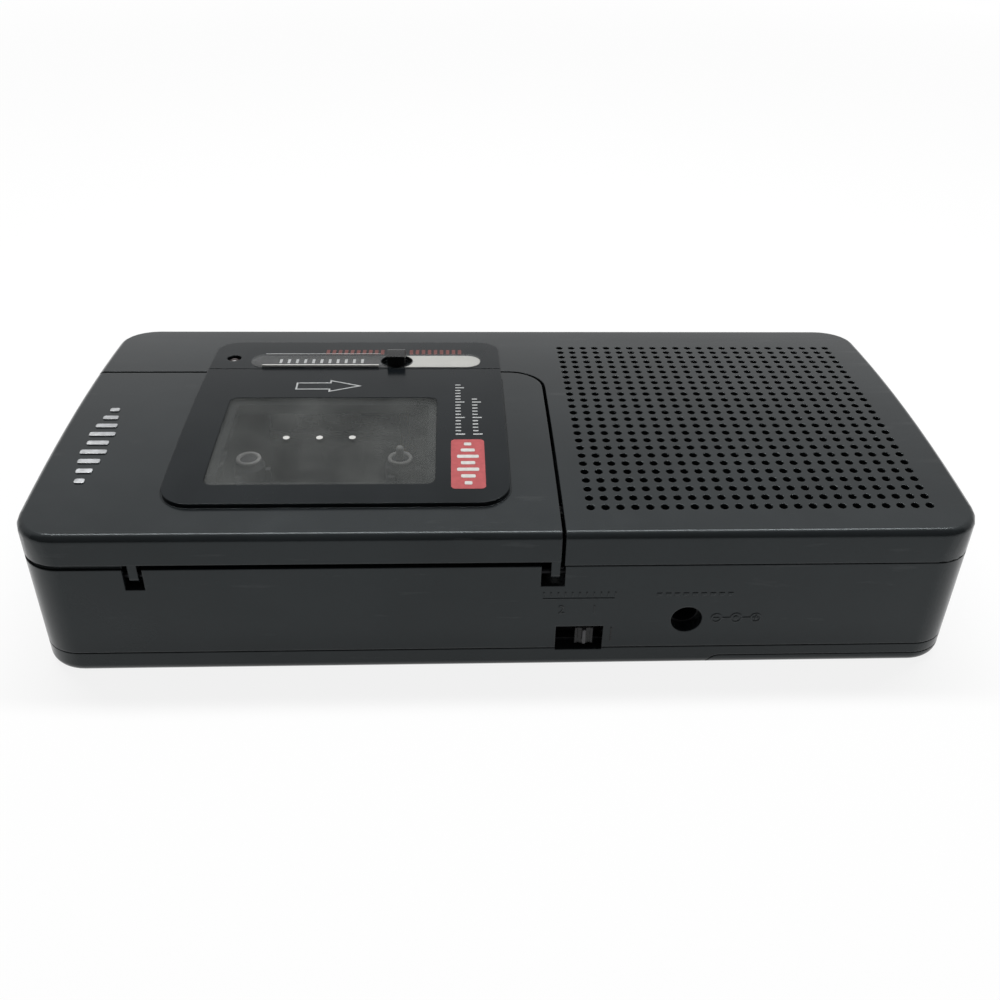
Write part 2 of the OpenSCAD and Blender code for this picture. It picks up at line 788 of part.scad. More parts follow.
// Lid: crowned cover with a skirt on two sides, a window opening, inner ribs and two hinge lugs
rib_t = 1;
rib_drop = 1.4;
window_ledge = 1.2;
module cassette_lid()
  color(shell_black)
    difference() {
      union() {
        intersection() {
          difference() {
            front_form(seam_front + skirt_gap);
            front_cavity(seam_front - 1);
          }
          lid_space(0);
        }
        lid_ribs();
        for (x = [lug_left_x, lug_right_x]) lug(x);
      }
      translate([0, 0, seam_front]) linear_extrude(body_h)
        field(window_left + window_ledge, window_right - window_ledge,
              window_near + window_ledge, window_far - window_ledge, 0.8);
      for (x = [lug_left_x, lug_right_x])
        rod_x(x - lug_w, x + lug_w, hinge_y, hinge_z, hinge_pin_d + 2 * run_clear);
    }

module lid_ribs()
  crown_layer(-face_t - rib_drop, -face_t + eps) {
    field(panel_left, panel_right, lid_far - rib_t, lid_far, rib_t / 3);
    field(lid_right - rib_t, lid_right, well_near, lid_far - lid_corner_r, rib_t / 3);
  }

module lug(x) {
  rod_x(x - lug_w / 2, x + lug_w / 2, hinge_y, hinge_z, 2 * lug_r);
  block(x - lug_w / 2, x + lug_w / 2, hinge_y - lug_r, hinge_y + lug_r, hinge_z,
        seam_front + skirt_gap + 1);
}

// Raised gloss panel on the lid, with the window let into it, ends over the middle of the lid's gap
seat_gap = 0.05;
panel_split = lid_far + lid_gap / 2;
module lid_panel()
  color(gloss_black)
    crown_layer(seat_gap, panel_t)
      difference() {
        intersection() {
          field(panel_left, panel_right, panel_near, panel_far, panel_corner_r);
          translate([lid_end, -half_w]) square([body_l, half_w + panel_split - panel_gap / 2]);
        }
        field(window_left, window_right, window_near, window_far, 1.2);
      }

module lid_window()
  color([0.3, 0.32, 0.32, 0.5])
    crown_layer(seat_gap, panel_t - seat_gap)
      field(window_left + seat_gap, window_right - seat_gap, window_near + seat_gap,
            window_far - seat_gap, 1.2);

module hinge_pins()
  color(steel)
    for (x = [lug_left_x, lug_right_x])
      rod_x(x - notch_w / 2 - pin_seat, x + notch_w / 2 + pin_seat, hinge_y, hinge_z, hinge_pin_d);

// Two leaf springs under the lid that hold the cassette down
leaf_t = 0.3;
leaf_w = 3;
leaf_drop = 1.1;
leaf_near = -17;
leaf_pad = 5;
leaf_reach = 8;
leaf_z = crown_z(leaf_near, -face_t) - seat_gap;
module cassette_springs()
  color(steel)
    for (x = [window_left - 3.6, window_right + 3.6])
      translate([x - leaf_w / 2, 0, 0]) {
        translate([0, leaf_near, leaf_z - leaf_t]) cube([leaf_w, leaf_pad, leaf_t]);
        translate([0, leaf_near + leaf_pad - leaf_t, leaf_z - leaf_drop]) cube([leaf_w, leaf_t, leaf_drop]);
        translate([0, leaf_near + leaf_pad - leaf_t, leaf_z - leaf_drop]) cube([leaf_w, leaf_reach,
              leaf_t]);
      }

// Far part of the gloss panel, fixed on the cabinet
panel_far_r = 3.5;
module counter_panel()
  color(gloss_black)
    crown_layer(seat_gap, panel_t)
      difference() {
        intersection() {
          field(panel_left, panel_right, panel_near, panel_far, panel_far_r);
          translate([lid_end, panel_split + panel_gap / 2]) square([body_l, half_w]);
        }
        counter_opening();
        translate([reset_x, strip_y]) circle(d = reset_recess_d);
        translate([lamp_x, lamp_y]) circle(d = lamp_d);
      }

module strip_plan(x0, x1, inset)
  field(x0 + inset, x1 - inset, strip_y - strip_w / 2 + inset, strip_y + strip_w / 2 - inset,
        strip_w / 2 - inset - eps);

// Clear bar over the counter, with a bevel in two steps and a round gap for the reset button
module counter_lens()
  color([0.55, 0.58, 0.58, 0.5]) {
    lens_layer(panel_t + seat_gap, panel_t + lens_rise / 2, 0);
    lens_layer(panel_t + lens_rise / 2 - eps, panel_t + lens_rise, lens_rise / 2);
  }
module lens_layer(rise0, rise1, inset)
  crown_layer(rise0, rise1)
    difference() {
      strip_plan(strip_left, counter_right, inset);
      translate([reset_x, strip_y]) circle(d = reset_recess_d + 2 * inset);
    }

// White frame just under the lens, with a slot that shows the number wheels
bezel_t = 0.4;
bezel_slot_w = 2.4;
module counter_bezel()
  color("white")
    crown_layer(panel_t - bezel_t, panel_t - seat_gap)
      difference() {
        field(counter_left + bezel_margin + seat_gap, counter_right - bezel_margin - seat_gap,
              strip_y - strip_w / 2 + bezel_margin + seat_gap,
                    strip_y + strip_w / 2 - bezel_margin - seat_gap, 0.8);
        field(counter_mid - wheel_span / 2, counter_mid + wheel_span / 2,
              strip_y - bezel_slot_w / 2, strip_y + bezel_slot_w / 2, 0.3);
      }
wheel_span = 3 * wheel_w + 2 * wheel_gap;

// Bracket under the front face that carries the counter's shaft
frame_t = 0.7;
frame_side = wheel_span / 2 + 0.25;
frame_reach = 2.4;
frame_below = 1.3;
frame_top = crown_z(strip_y + frame_reach, -face_t) - seat_gap;
module frame_side_plate(x)
  translate([x - frame_t / 2, strip_y, wheel_z]) rotate([90, 0, 90]) linear_extrude(frame_t)
    difference() {
      translate([-frame_reach, -frame_below]) square([2 * frame_reach, frame_top - wheel_z + frame_below]);
      circle(d = counter_shaft_d + 2 * eps);
    }
module counter_frame()
  color(gloss_black)
    for (side = [-1, 1])
      frame_side_plate(counter_mid + side * (frame_side + frame_t / 2));

module counter_shaft()
  color(steel)
    rod_x(counter_mid - frame_side - frame_t, counter_mid + frame_side + frame_t, strip_y, wheel_z,
          counter_shaft_d);

// Number wheel with a drive rim on its side, place 0 for units
module counter_wheel(place) {
  x0 = counter_mid + wheel_span / 2 - wheel_w - place * (wheel_w + wheel_gap);
  color("white")
    difference() {
      rod_x(x0, x0 + wheel_w, strip_y, wheel_z, wheel_d);
      rod_x(x0 - 1, x0 + wheel_w + 1, strip_y, wheel_z, counter_shaft_d + 2 * run_clear);
      difference() {
        rod_x(x0 - 1, x0 + 0.5, strip_y, wheel_z, wheel_d - 1.6);
        rod_x(x0 - 2, x0 + 1, strip_y, wheel_z, counter_shaft_d + 1.6);
      }
    }
}
module counter_wheel_units() counter_wheel(0);
module counter_wheel_tens() counter_wheel(1);
module counter_wheel_hundreds() counter_wheel(2);

// Reset button with a flange that keeps it under the front face
module counter_reset_button()
  color(gloss_black) {
    translate([reset_x, strip_y, 0]) {
      slab(reset_w, reset_l, 0.6, reset_seat, reset_top);
      slab(reset_recess_d + 1.2, reset_l + 0.2, 0.6, reset_seat - 1, reset_seat + eps);
    }
  }
reset_seat = crown_z(strip_y + 2.4, -face_t) - 0.3;

module record_lamp()
  color([0.2, 0.05, 0.05]) {
    rod_z(lamp_x, lamp_y, crown_z(lamp_y) - 4.5, crown_z(lamp_y) - 0.6, lamp_d - 2 * seat_gap);
    intersection() {
      translate([lamp_x, lamp_y, crown_z(lamp_y) - 0.6]) sphere(lamp_d / 2 - seat_gap);
      rod_z(lamp_x, lamp_y, crown_z(lamp_y) - 0.7, body_h, lamp_d);
    }
    rod_z(lamp_x, lamp_y, crown_z(lamp_y) - 4.5, crown_z(lamp_y + 2) - face_t - 0.1, lamp_d + 0.8);
  }

// Thin speaker between the battery bay and the grille
speaker_d = grille_l * 0.892;
speaker_top = crown_z(speaker_d / 2 + abs(grille_y), -face_t) - 0.05;
speaker_seat = seam_front + 0.05;
magnet_d = speaker_d * 0.436;
magnet_t = (speaker_top - speaker_seat) * 0.33;
speaker_back = speaker_seat + magnet_t;
dish_h = speaker_top - speaker_back;
dish_t = dish_h * 0.17;
speaker_rim_t = dish_h * 0.3;
rim_reach = speaker_d / 2;
rim_in = rim_reach * 0.9;
dish_r = magnet_d / 2 + 1;
dish_mid_r = (dish_r + rim_in) / 2;
dish_hole_d = (rim_in - dish_r) * 0.5;
module speaker_frame()
  color(steel)
    difference() {
      translate([grille_x, grille_y, 0]) rotate_extrude($fn = 96)
        polygon([
          [0, speaker_back], [dish_r, speaker_back],
          [rim_reach * 0.862, speaker_top - speaker_rim_t], [rim_reach, speaker_top - speaker_rim_t],
          [rim_reach, speaker_top], [rim_in, speaker_top], [rim_in, speaker_top - dish_t],
          [dish_r - 0.2, speaker_back + dish_t], [0, speaker_back + dish_t]
        ]);
      for (a = [0:60:300])
        translate([grille_x, grille_y, speaker_back - 1]) rotate(a) translate([dish_mid_r, 0, 0])
          cylinder(d = dish_hole_d, h = dish_h + 2);
    }

// Cone with a dust cap and a flat surround, resting on the step of the frame
cone_t = dish_h * 0.083;
cone_rise = dish_h - 2 * dish_t;
cone_lift = dish_h * 0.02;
cap_r = magnet_d * 0.24;
surround_r = rim_in - 0.1;
surround_in = rim_in - 2;
module speaker_cone()
  color([0.16, 0.15, 0.14])
    translate([grille_x, grille_y, speaker_back + dish_t])
      rotate_extrude($fn = 96)
        polygon([
          [0, 6 * cone_lift], [cap_r, 3 * cone_lift], [surround_in, cone_rise - cone_lift],
          [surround_r, cone_rise + cone_lift], [surround_r, cone_rise + cone_lift + cone_t],
          [surround_in - 0.2, cone_rise - cone_lift + cone_t],
          [cap_r, 3 * cone_lift + cone_t], [0, 7 * cone_lift + cone_t]
        ]);

module speaker_magnet()
  color(steel)
    rod_z(grille_x, grille_y, speaker_seat, speaker_back, magnet_d);

// Steel plate under the deck that carries the drive
module chassis_plate()
  color(steel)
    difference() {
      union() {
        block(supply_x - plate_left, takeup_x + plate_right, spindle_y - plate_left,
              capstan_y + plate_far, plate_z, plate_top);
        for (p = chassis_posts) rod_z(p[0], p[1], plate_top - eps, deck_z, 3);
      }
      rod_z(takeup_x, capstan_y, plate_z - 1, plate_top + 1, capstan_d + 2 * run_clear);
      for (x = [supply_x, takeup_x]) rod_z(x, spindle_y, plate_z - 1, plate_top + 1, post_d);
      rod_z(takeup_x, idler_y, plate_z - 1, plate_top + 1, post_d);
      rod_z(cassette_x, spindle_y, plate_z - 1, plate_top + 1, 6);
    }
post_d = 1.6;
plate_left = 9;
plate_right = 12;
plate_far = 8;
chassis_post_in = 2;
chassis_posts = [
  for (x = [supply_x - plate_left + chassis_post_in, takeup_x + plate_right - chassis_post_in])
    for (y = [spindle_y - plate_left + chassis_post_in, capstan_y + plate_far - chassis_post_in]) [x, y]
];

// Reel table: gear under the deck, neck through it and a splined spindle above
spindle_d = 4.4;
neck_d = 5.8;
spline_n = 3;
module reel_table(x) {
  color([0.85, 0.85, 0.82])
    translate([x, spindle_y, 0])
      difference() {
        union() {
          translate([0, 0, gear_z]) gear(reel_teeth, gear_t);
          rod_z(0, 0, gear_z, deck_top + 0.4, neck_d);
          rod_z(0, 0, gear_z, spindle_top - 1, spindle_d);
          translate([0, 0, spindle_top - 1 - eps]) cylinder(d1 = spindle_d, d2 = spindle_d - 1.4, h = 1);
          for (a = [0:360 / spline_n:359])
            rotate(a) block(0, spindle_d / 2 + 0.7, -0.45, 0.45, deck_top, spindle_top - 1.6);
        }
        rod_z(0, 0, gear_z - 1, spindle_top - 2.5, post_d + 2 * run_clear);
      }
}
module supply_spindle() reel_table(supply_x);
module takeup_spindle() reel_table(takeup_x);

module spindle_posts()
  color(steel)
    for (x = [supply_x, takeup_x])
      rod_z(x, spindle_y, plate_z, spindle_top - 3, post_d - 2 * eps);

module idler_gear()
  color([0.85, 0.85, 0.82])
    translate([takeup_x, idler_y, gear_z]) rotate(270 + 180 / idler_teeth)
      difference() {
        gear(idler_teeth, gear_t);
        rod_z(0, 0, -1, gear_t + 1, post_d + 2 * run_clear);
      }

module idler_post()
  color(steel)
    rod_z(takeup_x, idler_y, plate_z, deck_z - 0.05, post_d - 2 * eps);

module belt_groove(d)
  ring_z(0, 0, belt_z - belt_d / 2 - groove_clear, belt_z + belt_d / 2 + groove_clear, d + 1,
        d - 2 * groove_depth);
groove_clear = 0.15;

// Flywheel with its belt groove, capstan and drive pinion in one piece
module flywheel()
  color([0.78, 0.68, 0.42]) {
    translate([takeup_x, capstan_y, 0]) {
      difference() {
        rod_z(0, 0, flywheel_bottom, flywheel_top, flywheel_d);
        belt_groove(flywheel_d);
        ring_z(0, 0, flywheel_bottom - 1, flywheel_bottom + 0.8, flywheel_d - 5, 7);
      }
      rod_z(0, 0, board_top + 0.1, capstan_top, capstan_d);
      translate([0, 0, gear_z]) rotate(270 + 180 / capstan_teeth) gear(capstan_teeth, gear_t);
    }
  }
capstan_top = cassette_mid_z + 3;

module capstan_bearing()
  color([0.8, 0.62, 0.3])
    ring_z(takeup_x, capstan_y, deck_z, deck_top + 0.1, bearing_d, capstan_d + 2 * run_clear);

module motor()
  color(steel)
    difference() {
      union() {
        rod_z(motor_x, motor_y, motor_bottom, motor_top, motor_d);
        rod_z(motor_x, motor_y, motor_bottom - 0.5, motor_bottom + eps, motor_collar_d);
        rod_z(motor_x, motor_y, motor_top - eps, seam_front - 0.3, motor_boss_d);
      }
      rod_z(motor_x, motor_y, motor_bottom - 1, motor_bottom + 5, motor_shaft_d + 2 * run_clear);
    }

module motor_pulley()
  color([0.8, 0.62, 0.3])
    translate([motor_x, motor_y, 0]) {
      difference() {
        rod_z(0, 0, belt_z - 1, belt_z + 1, pulley_d);
        belt_groove(pulley_d);
      }
      rod_z(0, 0, belt_z - 1, motor_bottom + 4, motor_shaft_d);
    }

// Square belt: an arc in each groove and two straight runs
belt_dx = motor_x - takeup_x;
belt_dy = motor_y - capstan_y;
belt_span = sqrt(belt_dx * belt_dx + belt_dy * belt_dy);
belt_aim = atan2(belt_dy, belt_dx);
belt_lean = acos((belt_big_r - belt_small_r) / belt_span);
belt_out = [cos(belt_lean), sin(belt_lean)];
module belt_arc(r, a0, a1)
  rotate(a0) rotate_extrude(angle = a1 - a0, $fn = 96)
    translate([r, 0]) square([belt_d, belt_d]);
belt_way = [sin(belt_lean), -cos(belt_lean)];
belt_trim = 0.02;
belt_lap = 0.25;
module belt_run()
  translate([0, 0, belt_trim]) linear_extrude(belt_d - 2 * belt_trim)
    polygon([
      (belt_big_r + belt_trim) * belt_out - belt_lap * belt_way,
      [belt_span, 0] + (belt_small_r + belt_trim) * belt_out + belt_lap * belt_way,
      [belt_span, 0] + (belt_small_r + belt_d - belt_trim) * belt_out + belt_lap * belt_way,
      (belt_big_r + belt_d - belt_trim) * belt_out - belt_lap * belt_way
    ]);
module drive_belt()
  color([0.1, 0.1, 0.1])
    translate([takeup_x, capstan_y, belt_z - belt_d / 2]) rotate(belt_aim) {
      belt_arc(belt_big_r, belt_lean, 360 - belt_lean);
      translate([belt_span, 0, 0]) belt_arc(belt_small_r, -belt_lean, belt_lean);
      belt_run();
      mirror([0, 1, 0]) belt_run();
    }

// Sliding plate that carries both heads and the pinch roller's arm
module head_base()
  color(steel)
    difference() {
      union() {
        block(base_left, base_right, base_near, base_far, base_z, base_z + base_t);
        block(cassette_x - 3.4, cassette_x + 3.4, base_near + 1.4, base_near + 5, base_z,
              cassette_mid_z - 3);
        block(base_left, base_left + 4.8, base_near + 1.4, base_near + 4, base_z, cassette_mid_z - 3);
        rod_z(takeup_x, roller_y, base_z, roller_top + 0.5, roller_pin_d);
        rod_z(takeup_x, roller_y, base_z, roller_bottom - 0.15, 3);
      }
      for (x = [cassette_x - 5.5, cassette_x + 6])
        rod_z(x, base_far - 1.6, base_z - 1, base_z + base_t + 1, 1.4);
    }

// Head with a rounded tape face towards the cassette
head_h = 6;
module head(x, w, depth, nose_r, h = head_h)
  intersection() {
    block(x - w / 2, x + w / 2, head_front, head_front + depth, cassette_mid_z - h / 2,
          cassette_mid_z + h / 2);
    rod_z(x, head_front + nose_r, cassette_mid_z - h, cassette_mid_z + h, 2 * nose_r);
  }
module record_head() color(steel) head(cassette_x, w = 6.4, depth = 4.6, nose_r = 4.2);
module erase_head() color([0.2, 0.2, 0.22]) head(base_left + 2.4, w = 4, depth = 3.4, nose_r = 3);

module pinch_roller()
  color([0.08, 0.08, 0.08])
    difference() {
      rod_z(takeup_x, roller_y, roller_bottom, roller_top, 2 * roller_r);
      rod_z(takeup_x, roller_y, roller_bottom - 1, roller_top + 1, roller_pin_d + 2 * run_clear);
    }

// Transport key: dished cap, shank through the wall, flange behind it and a tail on the deck
key_dish_r = 14;
key_dish_t = 0.5;
module transport_key(x, tail) {
  outer = half_w + key_proud;
  difference() {
    union() {
      translate([x, 0, key_z]) rotate([90, 0, 0]) translate([0, 0, -outer])
        linear_extrude(outer - inner_w + 0.4) rounded(key_w, key_h, key_rounding);
      block(x - key_w / 2 - key_flange, x + key_w / 2 + key_flange, inner_w - 0.4 - key_flange_t,
            inner_w - 0.4 + eps,
            key_z - key_h / 2, key_z + key_h / 2);
      block(x - key_tail_w / 2, x + key_tail_w / 2, tail, inner_w - 1, key_z - key_h / 2,
            key_z - key_h / 2 + key_tail_h);
    }
    rod_z(x, outer + key_dish_r - key_dish_t, 0, body_h, 2 * key_dish_r, $fn = 96);
  }
}
function key_x(i) = key_first_x + i * key_pitch;
play_tail = base_far + 0.3;
short_tail = base_far + key_travel + 0.6;
module record_key() color([0.55, 0.1, 0.1]) transport_key(key_x(0), short_tail);
module rewind_key() color(shell_black) transport_key(key_x(1), short_tail);
module play_key() color(shell_black) transport_key(key_x(2), play_tail);
module forward_key() color(shell_black) transport_key(key_x(3), short_tail);
module stop_key() color(shell_black) transport_key(key_x(4), short_tail);

// Thumb dial with a grooved rim, on the shaft of the volume control
dial_grooves = 40;
module volume_dial()
  color(shell_black)
    translate([dial_x, dial_y, dial_z])
      difference() {
        cylinder(d = dial_d, h = dial_t, $fn = 96);
        for (i = [0:dial_grooves - 1])
          rotate(i * 360 / dial_grooves) translate([dial_d / 2 + 0.1, 0, -1]) cylinder(d = 0.6,
                h = dial_t + 2, $fn = 16);
        translate([0, 0, -1]) cylinder(d = dial_shaft_d + 2 * run_clear, h = dial_t + 2);
      }

control_w = 7.4;
module volume_control()
  color([0.25, 0.2, 0.15]) {
    translate([dial_x, dial_y, 0]) {
      rod_z(0, 0, dial_z - 0.4 - eps, dial_z + dial_t, dial_shaft_d);
      rod_z(0, 0, deck_z, dial_z - 0.4, control_w);
    }
  }

// Slide switch of the lid end: knob outside, body on the end wall inside
module voice_switch_knob()
  color(shell_black)
    difference() {
      block(lid_end - 0.8, inner_left + 1.2, voice_y - voice_knob_w / 2, voice_y + voice_knob_w / 2,
            voice_z - voice_knob_h / 2, voice_z + voice_knob_h / 2);
      for (i = [-1:1])
        rod_z(lid_end - 0.9, voice_y + i * 0.7, 0, body_h, 0.4);
    }
module voice_switch()
  color([0.3, 0.3, 0.32])
    difference() {
      block(inner_left + 0.1, inner_left + 0.1 + voice_switch_t, voice_y - voice_switch_l / 2,
            voice_y + voice_switch_l / 2, deck_top + 0.02, voice_z + voice_knob_h);
      block(inner_left, inner_left + 1.5, voice_y - voice_knob_w / 2 - voice_travel - slot_clear,
            voice_y + voice_knob_w / 2 + voice_travel + slot_clear,
            voice_z - voice_knob_h / 2 - slot_clear, voice_z + voice_knob_h / 2 + slot_clear);
    }

// Speed knob: ridged thumb piece set back in its window
knob_back = 0.5;
module speed_knob()
  color(shell_black)
    difference() {
      block(speed_x - speed_knob_w / 2, speed_x + speed_knob_w / 2, -half_w + knob_back, -inner_w + 1.4,
            speed_z - speed_knob_h / 2, speed_z + speed_knob_h / 2);
      for (i = [-1:1])
        rod_z(speed_x + i * 0.7, -half_w + knob_back - 0.1, 0, body_h, 0.4);
    }
module speed_switch()
  color([0.3, 0.3, 0.32])
    difference() {
      block(speed_window_x - 4.6, speed_window_x + 4.6, -inner_w + 0.1, -inner_w + 3.8, board_top + 0.02,
            speed_z + 2.6);
      block(speed_window_x - speed_window_w / 2, speed_window_x + speed_window_w / 2, -inner_w,
            -inner_w + 1.7,
            speed_z - speed_knob_h / 2 - slot_clear, speed_z + speed_knob_h / 2 + slot_clear);
    }

// Power socket behind its hole in the near wall, with a centre pin deep inside
dc_body_w = 6.4;
dc_body_l = 9;
dc_back_t = 1;
dc_pin_d = 1.3;
dc_pin_in = 1.5;
module dc_socket()
  color([0.12, 0.12, 0.13]) {
    difference() {
      block(dc_x - dc_body_w / 2, dc_x + dc_body_w / 2, -inner_w + 0.05, -inner_w + dc_body_l,
            board_top + 0.02, dc_z + dc_hole_d / 2 + 1.4);
      rod_y(dc_x, -inner_w - 1, -inner_w + dc_body_l - dc_back_t, dc_z, dc_bore_d);
    }
    rod_y(dc_x, -inner_w + dc_pin_in, -inner_w + dc_body_l - dc_back_t / 2, dc_z, dc_pin_d);
  }

// Audio socket: collar in the end wall and a body on the board
module audio_socket(y)
  color([0.12, 0.12, 0.13])
    difference() {
      union() {
        rod_x(lid_end + 0.1, inner_left + 0.5, y, jack_z, jack_nose_d);
        block(inner_left + 0.05, lid_end + jack_depth + 1.5, y - jack_body_w / 2, y + jack_body_w / 2,
              board_top + 0.02, jack_z + jack_body_h / 2);
      }
      rod_x(lid_end - 1, lid_end + 0.1 + jack_depth, y, jack_z, jack_bore_d);
    }
module earphone_socket() audio_socket(earphone_y);
module microphone_socket() audio_socket(microphone_socket_y);

module microphone()
  color(steel)
    rod_x(inner_left + seat_gap, inner_left + seat_gap + mic_l, mic_y, mic_z, mic_d);

// Circuit board on the back cover's posts, with a few low parts
module main_board()
  color([0.1, 0.35, 0.18])
    difference() {
      union() {
        translate([0, 0, board_z]) linear_extrude(board_t)
          field(inner_left + board_edge, bay_left - bay_wall - board_edge,
                -inner_w + board_edge, inner_w - board_edge, inner_corner_r);
        for (b = board_parts) block(b[0], b[1], b[2], b[3], board_top - eps, board_top + board_part_h);
      }
      for (p = boss_places) rod_z(p[0], p[1], 0, board_top + 1, boss_d + 2 * slot_clear);
    }

// Contact plates at both ends of the cells: two single plates and one that joins the cells
module battery_contacts()
  color(steel)
    for (side = [-1, 1])
      for (i = [-1, 1])
        block(bay_mid + i * cell_pitch / 2 - contact_w / 2, bay_mid + i * cell_pitch / 2 + contact_w / 2,
              side * (inner_w - contact_gap) - (side > 0 ? contact_t : 0),
                    side * (inner_w - contact_gap) + (side > 0 ? 0 : contact_t),
              cell_z - contact_h / 2, cell_z + contact_h / 2);

// Conical coil springs on the negative contacts
spring_rings = 8;
function spring_point(k) =
  let (f = k / (spring_turns * spring_rings), r = spring_large_r + (spring_small_r - spring_large_r) * f)
    [r * cos(k * 360 / spring_rings), spring_wire / 2 + f * (spring_l - spring_wire),
          r * sin(k * 360 / spring_rings)];
spring_points = [for (k = [0:spring_turns * spring_rings]) spring_point(k)];
module battery_spring()
  wire(spring_points, spring_wire, 6);
module battery_springs()
  color(steel)
    for (side = [-1, 1])
      translate([bay_mid + side * cell_pitch / 2,
                 side * (inner_w - contact_gap - contact_t - spring_gap), cell_z])
        mirror([0, side > 0 ? 1 : 0, 0]) battery_spring();

front_cabinet();
centre_cabinet();
back_cover();
battery_door();
case_screws();
cassette_lid();
lid_panel();
lid_window();
hinge_pins();
cassette_springs();
counter_panel();
counter_lens();
counter_bezel();
counter_frame();
counter_shaft();
counter_wheel_units();
counter_wheel_tens();
counter_wheel_hundreds();
counter_reset_button();
record_lamp();
speaker_frame();
speaker_cone();
speaker_magnet();
chassis_plate();
supply_spindle();
takeup_spindle();
spindle_posts();
idler_gear();
idler_post();
flywheel();
capstan_bearing();
motor();
motor_pulley();
drive_belt();
head_base();
record_head();
erase_head();
pinch_roller();
record_key();
play_key();
stop_key();
forward_key();
rewind_key();
volume_dial();
volume_control();
voice_switch_knob();
voice_switch();
speed_knob();
speed_switch();
dc_socket();
earphone_socket();
microphone_socket();
microphone();
main_board();
battery_contacts();
battery_springs();
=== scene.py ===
"""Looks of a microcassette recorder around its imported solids. Places and sizes are in millimetres."""
import json
import math

import bmesh
import bpy
from mathutils import Matrix, Vector


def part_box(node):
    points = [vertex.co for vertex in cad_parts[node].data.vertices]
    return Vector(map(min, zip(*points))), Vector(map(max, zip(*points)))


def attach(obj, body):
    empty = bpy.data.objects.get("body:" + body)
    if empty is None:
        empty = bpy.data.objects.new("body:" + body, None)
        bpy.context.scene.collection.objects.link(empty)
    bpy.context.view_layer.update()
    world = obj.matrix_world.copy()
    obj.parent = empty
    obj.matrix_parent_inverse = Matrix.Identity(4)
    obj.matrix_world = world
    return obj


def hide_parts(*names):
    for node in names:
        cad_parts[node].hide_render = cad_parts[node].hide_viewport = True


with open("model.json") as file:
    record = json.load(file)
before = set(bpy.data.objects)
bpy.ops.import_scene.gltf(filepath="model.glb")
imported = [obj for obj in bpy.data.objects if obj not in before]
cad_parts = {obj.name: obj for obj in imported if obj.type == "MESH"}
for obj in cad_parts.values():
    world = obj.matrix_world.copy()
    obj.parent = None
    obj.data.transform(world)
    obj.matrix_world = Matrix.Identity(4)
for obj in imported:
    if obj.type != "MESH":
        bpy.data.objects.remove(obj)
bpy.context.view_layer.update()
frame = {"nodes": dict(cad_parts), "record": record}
NODES = frame["nodes"]
MM = 0.001

# Form of the front face: crest height and radius of the crown
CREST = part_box("front_cabinet")[1].z / MM
CROWN_R = 300.0
NEAR_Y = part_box("centre_cabinet")[0].y / MM
FAR_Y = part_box("centre_cabinet")[1].y / MM
LEFT_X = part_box("centre_cabinet")[0].x / MM

# Raised panel, window and counter bar, as in the part's source
PANEL_RISE = 0.55
WINDOW_RISE = 0.5
LENS_RISE = 0.95
PANEL_EDGES = (-43.6, 0.8, -24.0, 22.5)
PANEL_CORNER_R = 4.0
STRIP_Y = 14.5
STRIP_W = 4.6
STRIP_LEFT, COUNTER_RIGHT = -37.6, -2.1
RESET_X = -15.2
RESET_GAP_D = 4.8
INK = 0.03


def crown_z(y, rise=0.0):
    return CREST - CROWN_R + math.sqrt((CROWN_R + rise) ** 2 - y * y)


# ---- Materials

def material(name, color, rough, metallic=0.0, specular=0.5):
    mat = bpy.data.materials.new(name)
    mat.use_nodes = True
    shader = mat.node_tree.nodes["Principled BSDF"]
    shader.inputs["Base Color"].default_value = (*color, 1.0)
    shader.inputs["Roughness"].default_value = rough
    shader.inputs["Metallic"].default_value = metallic
    shader.inputs["Specular IOR Level"].default_value = specular
    return mat


def node(mat, kind, **values):
    made = mat.node_tree.nodes.new(kind)
    for key, value in values.items():
        if key in made.inputs:
            made.inputs[key].default_value = value
        else:
            setattr(made, key, value)
    return made


def wire(mat, out, into):
    mat.node_tree.links.new(out, into)


def shader_of(mat):
    return mat.node_tree.nodes["Principled BSDF"]


def noise(mat, scale, detail=3.0, stretch=(1.0, 1.0, 1.0)):
    """Noise in the part's own space, scale in features per metre."""
    coords = node(mat, "ShaderNodeTexCoord")
    place = node(mat, "ShaderNodeMapping", Scale=stretch)
    texture = node(mat, "ShaderNodeTexNoise", Scale=scale, Detail=detail)
    wire(mat, coords.outputs["Object"], place.inputs["Vector"])
    wire(mat, place.outputs["Vector"], texture.inputs["Vector"])
    return texture.outputs["Fac"]


def ramp(mat, value, low, high, at=(0.35, 0.65)):
    made = node(mat, "ShaderNodeValToRGB")
    for stop, place, tone in zip(made.color_ramp.elements, at, (low, high)):
        stop.position = place
        stop.color = (*tone, 1.0) if len(tone) == 3 else tone
    wire(mat, value, made.inputs["Fac"])
    return made.outputs["Color"]


def fade(tree, value, start, stop, low, high):
    """Value carried over from the range start..stop to low..high."""
    made = tree.nodes.new("ShaderNodeMapRange")
    for key, number in (("From Min", start), ("From Max", stop), ("To Min", low), ("To Max", high)):
        made.inputs[key].default_value = number
    tree.links.new(value, made.inputs["Value"])
    return made.outputs["Result"]


def span(mat, value, low, high, start=0.3, stop=0.7):
    return fade(mat.node_tree, value, start, stop, low, high)


